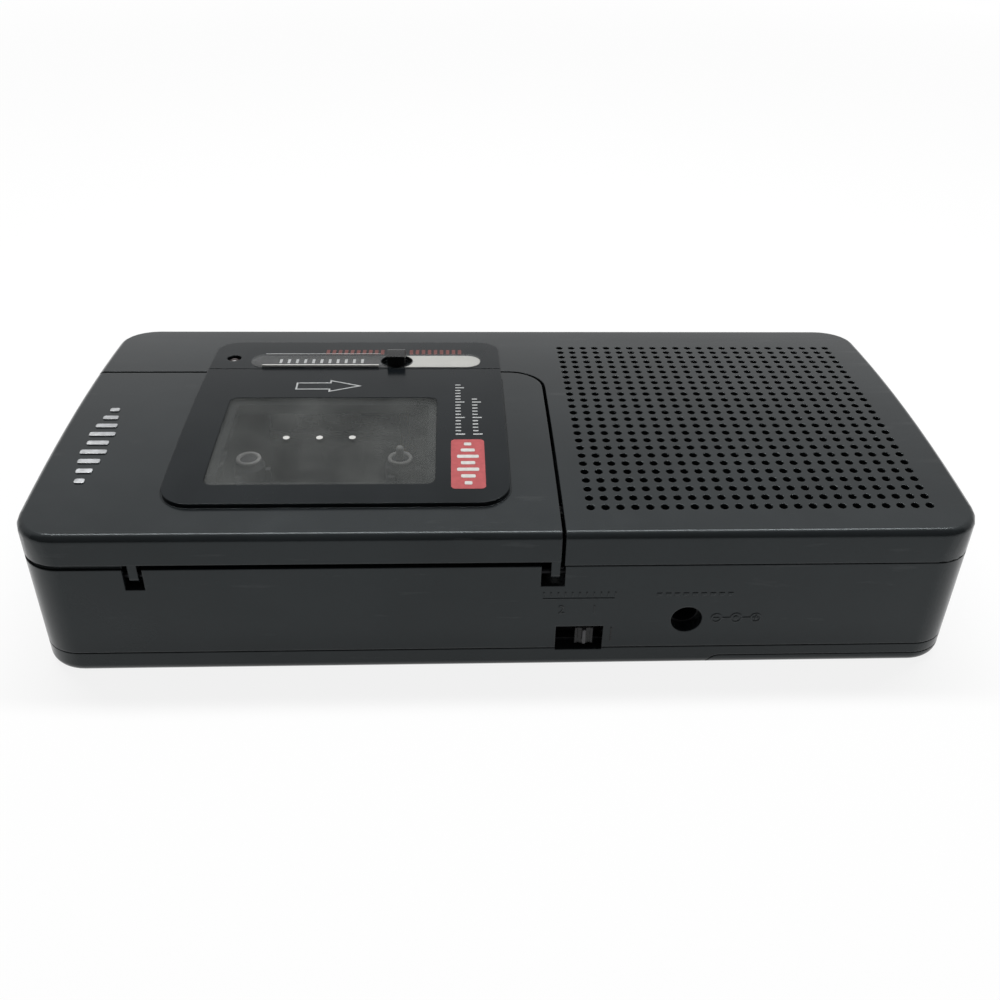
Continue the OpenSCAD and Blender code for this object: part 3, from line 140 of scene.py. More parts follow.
def surface(mat, grain_scale, grain_depth, edge=0.0):
    """Fine bump over edges rounded in shading, depth and radius in millimetres."""
    bump = node(mat, "ShaderNodeBump", Strength=0.6, Distance=grain_depth * MM)
    wire(mat, noise(mat, grain_scale, 2.0), bump.inputs["Height"])
    if edge:
        rounded = node(mat, "ShaderNodeBevel", Radius=edge * MM, samples=4)
        wire(mat, rounded.outputs["Normal"], bump.inputs["Normal"])
    wire(mat, bump.outputs["Normal"], shader_of(mat).inputs["Normal"])


def tint(mat, low, high, scale):
    wire(mat, ramp(mat, noise(mat, scale), low, high), shader_of(mat).inputs["Base Color"])


def vary_rough(mat, low, high, scale, stretch=(1.0, 1.0, 1.0)):
    wire(mat, span(mat, noise(mat, scale, 4.0, stretch), low, high), shader_of(mat).inputs["Roughness"])


COOL = (0.88, 0.97, 1.0, 1.0)


def shell_plastic():
    mat = material("shell_plastic", (0.0125, 0.014, 0.0152), 0.26, specular=0.32)
    shader_of(mat).inputs["Specular Tint"].default_value = COOL
    worn = ramp(mat, noise(mat, 55.0, 5.0), (0.0095, 0.011, 0.012), (0.0132, 0.0154, 0.0168))
    scuffs = noise(mat, 420.0, 6.0, (0.25, 1.0, 1.6))
    scratch = span(mat, scuffs, 0.0, 0.35, 0.66, 0.74)
    mix = node(mat, "ShaderNodeMix", data_type="RGBA")
    wire(mat, scratch, mix.inputs["Factor"])
    wire(mat, worn, mix.inputs["A"])
    mix.inputs["B"].default_value = (0.045, 0.047, 0.048, 1.0)
    wire(mat, mix.outputs["Result"], shader_of(mat).inputs["Base Color"])
    vary_rough(mat, 0.16, 0.25, 160.0)
    surface(mat, 4200.0, 0.007, edge=0.22)
    return mat


def gloss_panel():
    mat = material("gloss_panel", (0.0055, 0.007, 0.0082), 0.2, specular=0.16)
    shader_of(mat).inputs["Specular Tint"].default_value = COOL
    tint(mat, (0.0048, 0.0062, 0.0074), (0.0068, 0.0084, 0.0098), 90.0)
    vary_rough(mat, 0.17, 0.3, 140.0, (1.0, 0.4, 1.0))
    surface(mat, 900.0, 0.004, edge=0.25)
    return mat


def smoke_window():
    mat = material("smoke_window", (0.06, 0.062, 0.06), 0.3, specular=0.3)
    dust = span(mat, noise(mat, 1300.0, 3.0), 0.0, 0.6, 0.69, 0.76)
    mix = node(mat, "ShaderNodeMix", data_type="RGBA")
    wire(mat, dust, mix.inputs["Factor"])
    wire(mat, ramp(mat, noise(mat, 230.0), (0.064, 0.069, 0.0675), (0.098, 0.104, 0.101)), mix.inputs["A"])
    mix.inputs["B"].default_value = (0.3, 0.3, 0.29, 1.0)
    wire(mat, mix.outputs["Result"], shader_of(mat).inputs["Base Color"])
    haze = span(mat, noise(mat, 130.0, 6.0, (1.0, 0.35, 1.0)), 0.26, 0.42)
    wire(mat, haze, shader_of(mat).inputs["Alpha"])
    vary_rough(mat, 0.2, 0.45, 300.0)
    return mat


def clear_lens():
    mat = material("clear_lens", (0.5, 0.52, 0.52), 0.08, specular=0.4)
    tint(mat, (0.42, 0.44, 0.44), (0.55, 0.57, 0.57), 200.0)
    shader_of(mat).inputs["Alpha"].default_value = 0.04
    surface(mat, 600.0, 0.003, edge=0.2)
    return mat


def plain_plastic(name, low, high, rough, specular=0.45, edge=0.15):
    mat = material(name, low, rough, specular=specular)
    tint(mat, low, high, 180.0)
    vary_rough(mat, rough - 0.05, rough + 0.07, 400.0)
    surface(mat, 3600.0, 0.012, edge)
    return mat


def metal(name, low, high, rough, stretch):
    mat = material(name, low, rough, metallic=1.0)
    tint(mat, low, high, 260.0)
    vary_rough(mat, rough * 0.8, rough * 1.35, 1500.0, stretch)
    surface(mat, 2500.0, 0.004, edge=0.12)
    return mat


def printed_ink(name, low, high):
    mat = material(name, low, 0.4, specular=0.35)
    tint(mat, low, high, 1500.0)
    vary_rough(mat, 0.35, 0.5, 900.0)
    return mat


SHELL = shell_plastic()
PANEL = gloss_panel()
WINDOW = smoke_window()
LENS = clear_lens()
WHITE = plain_plastic("white_plastic", (0.4, 0.4, 0.378), (0.455, 0.455, 0.43), 0.35)
STEEL = metal("bright_steel", (0.5, 0.51, 0.53), (0.62, 0.63, 0.65), 0.28, (0.2, 1.0, 1.0))
DARK_STEEL = metal("dark_steel", (0.012, 0.012, 0.013), (0.02, 0.02, 0.022), 0.4, (0.2, 1.0, 1.0))
BRASS = metal("turned_brass", (0.55, 0.4, 0.16), (0.66, 0.5, 0.22), 0.25, (1.0, 1.0, 0.2))
RUBBER = plain_plastic("drive_rubber", (0.012, 0.012, 0.012), (0.02, 0.02, 0.02), 0.75)
NYLON = plain_plastic("gear_nylon", (0.5, 0.5, 0.46), (0.6, 0.6, 0.56), 0.5)
KEY_BLACK = plain_plastic("key_black", (0.006, 0.0064, 0.007), (0.009, 0.0096, 0.0102), 0.25,
                          specular=0.3, edge=0.3)
KEY_RED = plain_plastic("key_red", (0.3, 0.02, 0.02), (0.36, 0.035, 0.03), 0.4, edge=0.3)
LAMP = plain_plastic("lamp_red", (0.009, 0.002, 0.002), (0.013, 0.003, 0.003), 0.15, specular=0.5)
CONE = plain_plastic("cone_paper", (0.018, 0.017, 0.016), (0.03, 0.029, 0.027), 0.85)
GREY = plain_plastic("switch_grey", (0.07, 0.07, 0.075), (0.09, 0.09, 0.095), 0.5)
SOCKET = plain_plastic("socket_black", (0.006, 0.0065, 0.008), (0.01, 0.0105, 0.012), 0.35)
BOARD = plain_plastic("board_laminate", (0.01, 0.09, 0.03), (0.015, 0.12, 0.04), 0.3)
INK_WHITE = printed_ink("ink_white", (0.5, 0.5, 0.482), (0.58, 0.58, 0.562))
INK_PALE = printed_ink("ink_pale", (0.34, 0.35, 0.35), (0.44, 0.45, 0.45))
INK_RED = printed_ink("ink_red", (0.34, 0.056, 0.06), (0.4, 0.07, 0.075))
INK_DIM_RED = printed_ink("ink_dim_red", (0.08, 0.02, 0.017), (0.115, 0.026, 0.022))
INK_DARK = printed_ink("ink_dark", (0.012, 0.0125, 0.013), (0.02, 0.021, 0.022))
SILVER = metal("silver_foil", (0.36, 0.37, 0.38), (0.46, 0.47, 0.48), 0.38, (1.0, 1.0, 1.0))

SLOT_LOOK = {
    "shell": SHELL, "panel": PANEL, "window": WINDOW, "lens": LENS, "white": WHITE, "steel": STEEL,
    "dark_steel": DARK_STEEL, "brass": BRASS, "rubber": RUBBER, "gear": NYLON, "key_black": KEY_BLACK,
    "key_red": KEY_RED, "lamp": LAMP, "cone": CONE, "switch_grey": GREY, "socket": SOCKET, "board": BOARD,
}
NODE_LOOK = {"speaker_frame": DARK_STEEL}
SHARP_ANGLE = math.radians(32)
WELD = 1e-6


def soft_shading():
    """Node group that joins split vertices and shades smoothly over all but the sharp edges."""
    group = bpy.data.node_groups.new("soft_shading", "GeometryNodeTree")
    for way in ("INPUT", "OUTPUT"):
        group.interface.new_socket("Geometry", in_out=way, socket_type="NodeSocketGeometry")
    start = group.nodes.new("NodeGroupInput")
    end = group.nodes.new("NodeGroupOutput")
    weld = group.nodes.new("GeometryNodeMergeByDistance")
    weld.inputs["Distance"].default_value = WELD
    angle = group.nodes.new("GeometryNodeInputMeshEdgeAngle")
    sharp = group.nodes.new("FunctionNodeCompare")
    sharp.operation = "GREATER_THAN"
    sharp.inputs["B"].default_value = SHARP_ANGLE
    shade = group.nodes.new("GeometryNodeSetMeshNormal")
    shade.mode = "SHARPNESS"
    shade.inputs["Remove Custom"].default_value = True
    group.links.new(start.outputs["Geometry"], weld.inputs["Geometry"])
    group.links.new(weld.outputs["Geometry"], shade.inputs["Mesh"])
    group.links.new(angle.outputs["Unsigned Angle"], sharp.inputs["A"])
    group.links.new(sharp.outputs["Result"], shade.inputs["Edge Sharpness"])
    group.links.new(shade.outputs["Mesh"], end.inputs["Geometry"])
    return group


def dress_solids():
    """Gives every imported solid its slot's look, smooth where its faces meet softly."""
    shading = soft_shading()
    for part in frame["record"]["subparts"]:
        solid = NODES[part["node"]]
        solid.data.materials.clear()
        solid.data.materials.append(NODE_LOOK.get(part["node"], SLOT_LOOK[part["material_slot"]]))
        solid.modifiers.new("soft_shading", "NODES").node_group = shading
        solid.modifiers.new("large_faces_lead", "WEIGHTED_NORMAL").keep_sharp = True


# ---- Mesh helpers

MITRE_LEAST = 0.2
BEVEL_STEPS, BEVEL_ANGLE = 3, math.radians(40)
CROWN_STEP = 1.5
NUMERAL_STEPS = 3


def rounded(x0, x1, y0, y1, r, steps=8):
    """Rounded rectangle; r is one radius, or four against the clock from the near right corner on."""
    radii = r if isinstance(r, (list, tuple)) else [r] * 4
    corners = [(x1, y0, -90), (x1, y1, 0), (x0, y1, 90), (x0, y0, 180)]
    points = []
    for (x, y, start), radius in zip(corners, radii):
        cx = x - radius if x == x1 else x + radius
        cy = y - radius if y == y1 else y + radius
        for i in range(steps + 1):
            a = math.radians(start + 90 * i / steps)
            points.append((cx + radius * math.cos(a), cy + radius * math.sin(a)))
    return points


def disc(x, y, r, steps=28):
    turns = [math.tau * i / steps for i in range(steps)]
    return [(x + r * math.cos(a), y + r * math.sin(a)) for a in turns]


def bar(x0, x1, y0, y1):
    return [(x0, y0), (x1, y0), (x1, y1), (x0, y1)]


def inset(points, width):
    """The same outline drawn in by width, corners mitred; points run against the clock."""
    result = []
    for i, p in enumerate(points):
        before = Vector(p) - Vector(points[i - 1])
        after = Vector(points[(i + 1) % len(points)]) - Vector(p)
        n0 = Vector((-before.y, before.x)).normalized()
        n1 = Vector((-after.y, after.x)).normalized()
        mitre = (n0 + n1).normalized()
        result.append(tuple(Vector(p) + mitre * (width / max(mitre.dot(n0), MITRE_LEAST))))
    return result


def fill(bm, shapes):
    """Faces of flat shapes, each a list of loops: its outline, then its holes."""
    for loops in shapes:
        edges = []
        for loop in loops:
            ring = [bm.verts.new((x, y, 0.0)) for x, y in loop]
            edges += [bm.edges.new((ring[i - 1], v)) for i, v in enumerate(ring)]
        bmesh.ops.triangle_fill(bm, use_beauty=True, use_dissolve=False, edges=edges)


def thicken(bm):
    """Gives filled faces a second layer and side walls; returns the vertices of the new layer."""
    geom = bmesh.ops.extrude_face_region(bm, geom=bm.faces[:] + bm.edges[:], use_keep_orig=True)["geom"]
    return {v for v in geom if isinstance(v, bmesh.types.BMVert)}


def piece(name, bm, look, body, bevel=0.0):
    bmesh.ops.recalc_face_normals(bm, faces=bm.faces[:])
    bmesh.ops.scale(bm, vec=(MM, MM, MM), verts=bm.verts[:])
    mesh = bpy.data.meshes.new(name)
    bm.to_mesh(mesh)
    bm.free()
    mesh.materials.append(look)
    mesh.shade_smooth()
    mesh.set_sharp_from_angle(angle=SHARP_ANGLE)
    obj = bpy.data.objects.new(name, mesh)
    bpy.context.scene.collection.objects.link(obj)
    if bevel:
        soft = obj.modifiers.new("soft_edges", "BEVEL")
        soft.width = bevel * MM
        soft.segments = BEVEL_STEPS
        soft.angle_limit = BEVEL_ANGLE
    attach(obj, body)
    return obj


def crown_plate(name, shapes, rise0, rise1, look, body, slot, bevel=0.0):
    """Flat shapes laid on the crowned face, from one rise above it to another."""
    bm = bmesh.new()
    fill(bm, shapes)
    ys = [v.co.y for v in bm.verts]
    cut = min(ys) + CROWN_STEP
    while cut < max(ys):
        geom = bm.verts[:] + bm.edges[:] + bm.faces[:]
        bmesh.ops.bisect_plane(bm, geom=geom, plane_co=(0, cut, 0), plane_no=(0, 1, 0))
        cut += CROWN_STEP
    top = thicken(bm)
    for v in bm.verts:
        v.co.z = crown_z(v.co.y, rise1 if v in top else rise0)
    return piece(name, bm, look, body, bevel)


TURN_UP = Matrix.Rotation(math.radians(90), 4, "X")
FACING = {
    "near": TURN_UP,
    "far": Matrix.Rotation(math.pi, 4, "Z") @ TURN_UP,
    "left": Matrix.Rotation(math.radians(-90), 4, "Z") @ TURN_UP,
    "back": Matrix.Rotation(math.pi, 4, "X"),
}


def wall_marks(name, shapes, facing, at, depth, look, body, bevel=0.0):
    """Flat shapes standing depth out of a wall, drawn as seen from in front of it round the point at."""
    bm = bmesh.new()
    fill(bm, shapes)
    top = thicken(bm)
    for v in bm.verts:
        v.co.z = depth if v in top else -depth
    bmesh.ops.transform(bm, matrix=Matrix.Translation(at) @ FACING[facing], verts=bm.verts[:])
    return piece(name, bm, look, body, bevel)


def numerals(text, size):
    """Loops of plain numbers, centred on the origin, as shapes for the makers above."""
    curve = bpy.data.curves.new("numeral", "FONT")
    curve.body = text
    curve.size = size
    curve.align_x = "CENTER"
    curve.align_y = "CENTER"
    curve.resolution_u = NUMERAL_STEPS
    holder = bpy.data.objects.new("numeral", curve)
    bpy.context.scene.collection.objects.link(holder)
    mesh = bpy.data.meshes.new_from_object(holder.evaluated_get(bpy.context.evaluated_depsgraph_get()))
    bpy.data.objects.remove(holder)
    bpy.data.curves.remove(curve)
    shapes = [[[tuple(mesh.vertices[i].co.xy) for i in face.vertices]] for face in mesh.polygons]
    bpy.data.meshes.remove(mesh)
    return shapes


# ---- Print on the panel and the window

DOT_XS = (-29.2, -24.7, -20.25)
DOT_Y, DOT_R = -9.05, 0.46
ARROW_TAIL, ARROW_NECK, ARROW_TIP = -29.65, -24.75, -19.95
ARROW_SHAFT, ARROW_BARB = (4.65, 6.9), (3.85, 7.7)
ARROW_LINE = 0.24
BADGE = (-6.8, -2.3, -21.15, -9.75)
BADGE_R = 0.6
BADGE_BARS = (1.0, 1.9, 2.9, 1.9, 2.9, 1.9, 1.0)
BADGE_BAR_W, BADGE_BAR_R = 0.72, 0.2
BADGE_END_SPACE = 0.6
SCALE_ROWS = ((-6.15, -8.4, 6.0), (-3.75, -8.4, 1.8))
SCALE_PITCH, SCALE_LINE = 0.9, 0.3
SCALE_SHORT, SCALE_LONG, SCALE_EVERY = 0.75, 1.3, 5
RED_DASH_Y = (17.25, 19.05)
RED_DASH_RUNS = ((-26.4, -17.8), (-13.3, -5.6))
RED_DASH_PITCH, RED_DASH_W = 0.95, 0.55


def bar_column(x, y0, pitch, lengths, width, r):
    """Rounded bars one behind the other along Y, each as long across as lengths says."""
    bars = []
    for i, long in enumerate(lengths):
        y = y0 + i * pitch
        bars.append([rounded(x - long / 2, x + long / 2, y - width / 2, y + width / 2, r)])
    return bars


def dash_row(x0, width, pitch, count, y0, y1):
    """Upright dashes side by side along X."""
    return [[bar(x0 + i * pitch, x0 + i * pitch + width, y0, y1)] for i in range(count)]


def window_dots():
    crown_plate("window_dots", [[disc(x, DOT_Y, DOT_R)] for x in DOT_XS],
                WINDOW_RISE, WINDOW_RISE + INK, INK_WHITE, "lid", "white")


def tape_arrow():
    middle = sum(ARROW_SHAFT) / 2
    low, high = ARROW_SHAFT
    outer = [(ARROW_TAIL, low), (ARROW_NECK, low), (ARROW_NECK, ARROW_BARB[0]), (ARROW_TIP, middle),
             (ARROW_NECK, ARROW_BARB[1]), (ARROW_NECK, high), (ARROW_TAIL, high)]
    crown_plate("tape_arrow", [[outer, inset(outer, ARROW_LINE)]],
                PANEL_RISE, PANEL_RISE + INK, INK_PALE, "lid", "white")


def badge():
    x0, x1, y0, y1 = BADGE
    crown_plate("red_badge", [[rounded(x0, x1, y0, y1, BADGE_R)]],
                PANEL_RISE, PANEL_RISE + INK, INK_RED, "lid", "key_red")
    count = len(BADGE_BARS)
    pitch = (y1 - y0) / (count + BADGE_END_SPACE)
    first_y = (y0 + y1) / 2 - (count - 1) / 2 * pitch
    bars = bar_column((x0 + x1) / 2, first_y, pitch, BADGE_BARS, BADGE_BAR_W, BADGE_BAR_R)
    crown_plate("badge_bars", bars, PANEL_RISE + INK, PANEL_RISE + 2 * INK, INK_WHITE, "lid", "white")


def panel_scales():
    """Plain scale ticks along Y, a longer one at every fifth place."""
    ticks = []
    for x, y0, y1 in SCALE_ROWS:
        for i in range(int((y1 - y0) / SCALE_PITCH) + 1):
            reach = SCALE_SHORT if i % SCALE_EVERY else SCALE_LONG
            y = y0 + i * SCALE_PITCH
            ticks.append([bar(x, x + reach, y - SCALE_LINE / 2, y + SCALE_LINE / 2)])
    crown_plate("panel_scales", ticks, PANEL_RISE, PANEL_RISE + INK, INK_PALE, "lid", "white")


def far_dashes():
    dashes = []
    for x0, x1 in RED_DASH_RUNS:
        count = int((x1 - x0) / RED_DASH_PITCH) + 1
        dashes += dash_row(x0, RED_DASH_W, RED_DASH_PITCH, count, *RED_DASH_Y)
    crown_plate("far_dashes", dashes, PANEL_RISE, PANEL_RISE + INK, INK_DIM_RED, "cabinet", "key_red")


# ---- Counter bar

FILM_INSET = 0.12
ARC_STEPS = 12
LABEL_TICKS_X, LABEL_TICK_W, LABEL_TICK_PITCH, LABEL_TICK_COUNT = -33.2, 0.4, 1.25, 11
LABEL_TICK_HALF = 0.75
# Painted highlights on the clear bar: where the white and pale strips lie along its near and far edges.
GLINT_X0, GLINT_X1 = STRIP_LEFT + 2.0, RESET_X - 2.6
NEAR_GLINT_Y, NEAR_GLINT_R, NEAR_GLINT_RISE = (0.04, 0.34), 0.14, (-0.3, 0.01)
FAR_GLINT_Y, FAR_GLINT_R, FAR_GLINT_RISE = (-0.24, -0.1), 0.06, (0.0, 0.015)


def bar_end(x_end, sign, draw_in):
    """One part of the bar: rounded at x_end, hollowed by the reset button's gap at the other end."""
    half = STRIP_W / 2 - draw_in
    gap_r = RESET_GAP_D / 2 + draw_in
    reach = math.degrees(math.asin(half / gap_r)) if half < gap_r else 90.0
    mid_x = x_end - sign * (half + draw_in)
    points = []
    for i in range(ARC_STEPS + 1):
        a = math.radians(-90 + 180 * i / ARC_STEPS)
        points.append((mid_x + sign * half * math.cos(a), STRIP_Y + half * math.sin(a)))
    for i in range(ARC_STEPS + 1):
        a = math.radians(reach - 2 * reach * i / ARC_STEPS)
        points.append((RESET_X + sign * gap_r * math.cos(a), STRIP_Y + gap_r * math.sin(a)))
    return points


def counter_films():
    """Dark label and white field that show through the clear bar."""
    crown_plate("counter_label", [[bar_end(STRIP_LEFT, -1, FILM_INSET)]],
                PANEL_RISE, PANEL_RISE + INK, INK_DARK, "cabinet", "panel")
    crown_plate("counter_field", [[bar_end(COUNTER_RIGHT, 1, FILM_INSET)]],
                PANEL_RISE, PANEL_RISE + INK, WHITE, "cabinet", "white")
    ticks = dash_row(LABEL_TICKS_X, LABEL_TICK_W, LABEL_TICK_PITCH, LABEL_TICK_COUNT,
                     STRIP_Y - LABEL_TICK_HALF, STRIP_Y + LABEL_TICK_HALF)
    crown_plate("counter_label_ticks", ticks,
                PANEL_RISE + INK, PANEL_RISE + 2 * INK, INK_PALE, "cabinet", "white")


def painted_lens_glints():
    """Painted highlights: a bright white strip along the near edge of the clear bar, and a fainter pale one
    along its far edge.
    """
    near, far = STRIP_Y - STRIP_W / 2, STRIP_Y + STRIP_W / 2
    for name, edge, (y0, y1), r, (low, high), look in (
            ("lens_near_painted_glint", near, NEAR_GLINT_Y, NEAR_GLINT_R, NEAR_GLINT_RISE, INK_WHITE),
            ("lens_far_painted_glint", far, FAR_GLINT_Y, FAR_GLINT_R, FAR_GLINT_RISE, INK_PALE)):
        crown_plate(name, [[rounded(GLINT_X0, GLINT_X1, edge + y0, edge + y1, r)]],
                    LENS_RISE + low, LENS_RISE + high, look, "cabinet", "white")


# ---- Spindle tips, with painted highlights

SPINDLES = {"supply_reel": -35.45, "takeup_reel": -14.05}
SPINDLE_Y, SPINDLE_TOP = -5.5, 18.0
# Sizes of the white rings and pin that are painted highlights on the spindle tips.
CAP_R, CAP_TUBE, CAP_STEPS = 1.5, 0.3, 10
PIN_R, PIN_TALL, PIN_SUNK = 0.55, 2.2, 0.1
DOME_STEPS = 6
TURN_STEPS = 36
SAME_POINT = 1e-4


def turned(name, profile, x, y, look, body):
    """Closed form turned round an upright axis from an outline of (radius, height) points."""
    bm = bmesh.new()
    line = [bm.verts.new((r, 0.0, z)) for r, z in profile]
    edges = [bm.edges.new(pair) for pair in zip(line, line[1:])]
    bmesh.ops.spin(bm, geom=line + edges, axis=(0, 0, 1), cent=(0, 0, 0), angle=math.tau, steps=TURN_STEPS)
    bmesh.ops.remove_doubles(bm, verts=bm.verts[:], dist=SAME_POINT)
    bmesh.ops.translate(bm, vec=(x, y, 0.0), verts=bm.verts[:])
    return piece(name, bm, look, body)


def spindle_tip_highlights():
    """Painted highlights: a white ring round the tip of each spindle and a white pin in the middle of one,
    standing in for the light that catches the spindle tips.
    """
    around = [math.tau * i / CAP_STEPS for i in range(CAP_STEPS + 1)]
    tube = [(CAP_R + CAP_TUBE * math.cos(a), SPINDLE_TOP + CAP_TUBE * math.sin(a)) for a in around]
    for body, x in SPINDLES.items():
        turned(body + "_tip_highlight_ring", tube, x, SPINDLE_Y, INK_WHITE, body)
    foot = SPINDLE_TOP - PIN_SUNK
    shoulder = foot + PIN_TALL - PIN_R
    dome = [math.radians(90 * i / DOME_STEPS) for i in range(DOME_STEPS + 1)]
    pin = [(0.0, foot), (PIN_R, foot)]
    pin += [(PIN_R * math.cos(a), shoulder + PIN_R * math.sin(a)) for a in dome]
    turned("takeup_reel_highlight_pin", pin, SPINDLES["takeup_reel"], SPINDLE_Y, INK_WHITE, "takeup_reel")


# ---- Foot of the panel, and the reset button

FOOT_IN, FOOT_OUT = 0.12, 0.3
FOOT_FAR, FOOT_END_R = 9.0, 0.1
FOOT_RISE, FOOT_BEVEL = (-0.03, 0.06), 0.04
RECESS_RISE = (-0.75, -0.35)
RECESS_GAP, RECESS_STEPS = 0.02, 48
RESET_W, RESET_L = 2.7, 3.4
RESET_SLACK, RESET_SLOT_R = 0.1, 0.3
RESET_PROUD, RESET_DEEP = 1.75, 2.2
RESET_ROUND, RESET_ROUND_STEPS = 1.3, 8
RESET_NEAR_DROP, RESET_BEVEL = 0.1, 0.28


def foot_outline(out, far):
    """Outline round the near part of the panel, drawn out from its edges by out and cut off at far."""
    x0, x1, y0, _ = PANEL_EDGES
    soft = PANEL_CORNER_R + out
    return rounded(x0 - out, x1 + out, y0 - out, far, [soft, FOOT_END_R, FOOT_END_R, soft])


def panel_foot():
    """Fine moulded line on the lid round the foot of the raised panel."""
    outer = foot_outline(FOOT_OUT, FOOT_FAR + FOOT_OUT - FOOT_IN)
    inner = foot_outline(FOOT_IN, FOOT_FAR)
    crown_plate("panel_foot_line", [[outer, inner]], *FOOT_RISE, SHELL, "lid", "shell", bevel=FOOT_BEVEL)


def reset_recess():
    """Shallow floor round the reset button, with a slot that the button slides in."""
    half_w, half_l = RESET_W / 2, RESET_L / 2
    slot = rounded(RESET_X - half_w - RESET_SLACK, RESET_X + half_w + RESET_SLACK,
                   STRIP_Y - half_l - RESET_SLACK, STRIP_Y + half_l + RESET_SLACK, RESET_SLOT_R)
    edge = disc(RESET_X, STRIP_Y, RESET_GAP_D / 2 - RECESS_GAP, RECESS_STEPS)
    crown_plate("reset_recess_floor", [[edge, slot]], *RECESS_RISE, SHELL, "cabinet", "shell")


def reset_button():
    """Block with a flat near face and a top rolled over at the far side."""
    top = crown_z(STRIP_Y, PANEL_RISE) + RESET_PROUD
    low = crown_z(STRIP_Y) - RESET_DEEP
    y0, y1 = STRIP_Y - RESET_L / 2, STRIP_Y + RESET_L / 2
    mid_y, mid_z = y1 - RESET_ROUND, top - RESET_ROUND
    profile = [(y0, low), (y1, low)]
    for i in range(RESET_ROUND_STEPS + 1):
        a = math.radians(90 * i / RESET_ROUND_STEPS)
        profile.append((mid_y + RESET_ROUND * math.cos(a), mid_z + RESET_ROUND * math.sin(a)))
    profile.append((y0, top - RESET_NEAR_DROP))
    bm = bmesh.new()
    fill(bm, [[profile]])
    right_side = thicken(bm)
    for v in bm.verts:
        x = RESET_X + (RESET_W / 2 if v in right_side else -RESET_W / 2)
        v.co = Vector((x, v.co.x, v.co.y))
    cap = piece("reset_cap", bm, KEY_BLACK, "reset_button", bevel=RESET_BEVEL)
    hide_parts("counter_reset_button")


# ---- Lid end: plain silver bars

FOIL_X = -54.4
FOIL_Y = (-18.4, -0.6)
FOIL_BARS = (1.3, 2.1, 2.9, 3.5, 2.9, 3.5, 2.9, 2.1, 1.3)
FOIL_BAR_W, FOIL_BAR_R = 0.95, 0.3
FOIL_RISE, FOIL_BEVEL = (-0.02, 0.14), 0.05


def foil_bars():
    pitch = (FOIL_Y[1] - FOIL_Y[0]) / (len(FOIL_BARS) - 1)
    bars = bar_column(FOIL_X, FOIL_Y[0], pitch, FOIL_BARS, FOIL_BAR_W, FOIL_BAR_R)
    crown_plate("foil_bars", bars, *FOIL_RISE, SILVER, "lid", "steel", bevel=FOIL_BEVEL)


# ---- Marks moulded and printed on the walls

def ring(x, y, r, line):
    return [disc(x, y, r), disc(x, y, r - line)]


def triangle(x, size, way):
    return [(x - way * size / 2, -size / 2), (x + way * size / 2, 0), (x - way * size / 2, size / 2)][::way]


def shifted(shapes, across):
    return [[[(x + across, y) for x, y in loop] for loop in shape] for shape in shapes]


RELIEF = 0.07
SPEED_MARKS_X, SPEED_MARKS_Z = 9.4, 9.9
SPEED_NUMBER_TALL, SPEED_NUMBER_ASIDE = 1.9, 2.1
SPEED_LINE = bar(-4.6, 4.6, 1.75, 1.95)
SPEED_TICKS = dash_row(-4.6, 0.2, 0.92, 11, 2.2, 2.9)
SPEED_Z = sum(corner.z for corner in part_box("speed_knob")) / 2 / MM
SPEED_INDEX_X, SPEED_INDEX_UP = 13.95, 0.55
SPEED_INDEX = bar(-0.09, 0.09, -1.2, 1.2)
POLARITY_X, POLARITY_Z = 30.2, 8.3
POLARITY = [
    ring(-2.6, 0, 0.75, 0.2), [bar(-3.0, -2.2, -0.1, 0.1)], [bar(-1.85, -0.8, -0.1, 0.1)],
    ring(0.0, 0, 0.8, 0.2), [disc(0, 0, 0.34)], [bar(0.8, 1.85, -0.1, 0.1)],
    ring(2.6, 0, 0.75, 0.2), [bar(2.2, 3.0, -0.1, 0.1)],
    [bar(2.5, 2.7, 0.1, 0.4)], [bar(2.5, 2.7, -0.4, -0.1)],
]
POWER_DASHES_X, POWER_DASHES_Z = 24.0, 12.3
POWER_DASHES = dash_row(-4.6, 0.7, 1.15, 9, -0.25, 0.25)
RIDGE_SLIM, RIDGE_TALL, RIDGE_PROUD = 0.45, 2.3, 0.35
RIDGE_R, RIDGE_BEVEL = 0.2, 0.1


def near_wall_marks():
    """Speed numbers and their scale, polarity sign, the knob's index line painted darker than the wall as
    the shade of an engraved groove, dashes over the power hole.
    """
    speed = shifted(numerals("2", SPEED_NUMBER_TALL), -SPEED_NUMBER_ASIDE)
    speed += shifted(numerals("1", SPEED_NUMBER_TALL), SPEED_NUMBER_ASIDE)
    speed += [[SPEED_LINE]] + SPEED_TICKS
    wall_marks("speed_marks", speed, "near", (SPEED_MARKS_X, NEAR_Y, SPEED_MARKS_Z),
               RELIEF, SHELL, "cabinet")
    wall_marks("polarity_mark", POLARITY, "near", (POLARITY_X, NEAR_Y, POLARITY_Z),
               RELIEF, SHELL, "cabinet")
    # Painted shade: the index is a slim raised bar in dark plastic, standing in for the shadow inside an
    # engraved groove.
    wall_marks("speed_index_groove_shade", [[SPEED_INDEX]], "near", (SPEED_INDEX_X, NEAR_Y, SPEED_Z + SPEED_INDEX_UP),
               RELIEF, KEY_BLACK, "cabinet")
    wall_marks("power_dashes", POWER_DASHES, "near", (POWER_DASHES_X, NEAR_Y, POWER_DASHES_Z),
               RELIEF, SHELL, "cabinet")


def knob_ridge():
    """Finger ridge in the middle of the speed knob, paler where thumbs have rubbed it."""
    low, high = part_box("speed_knob")
    ridge = rounded(-RIDGE_SLIM / 2, RIDGE_SLIM / 2, -RIDGE_TALL / 2, RIDGE_TALL / 2, RIDGE_R)
    middle = ((low.x + high.x) / 2 / MM, low.y / MM, SPEED_Z)
    wall_marks("speed_knob_ridge", [[ridge]], "near", middle, RIDGE_PROUD,
               GREY, "speed_knob", bevel=RIDGE_BEVEL)


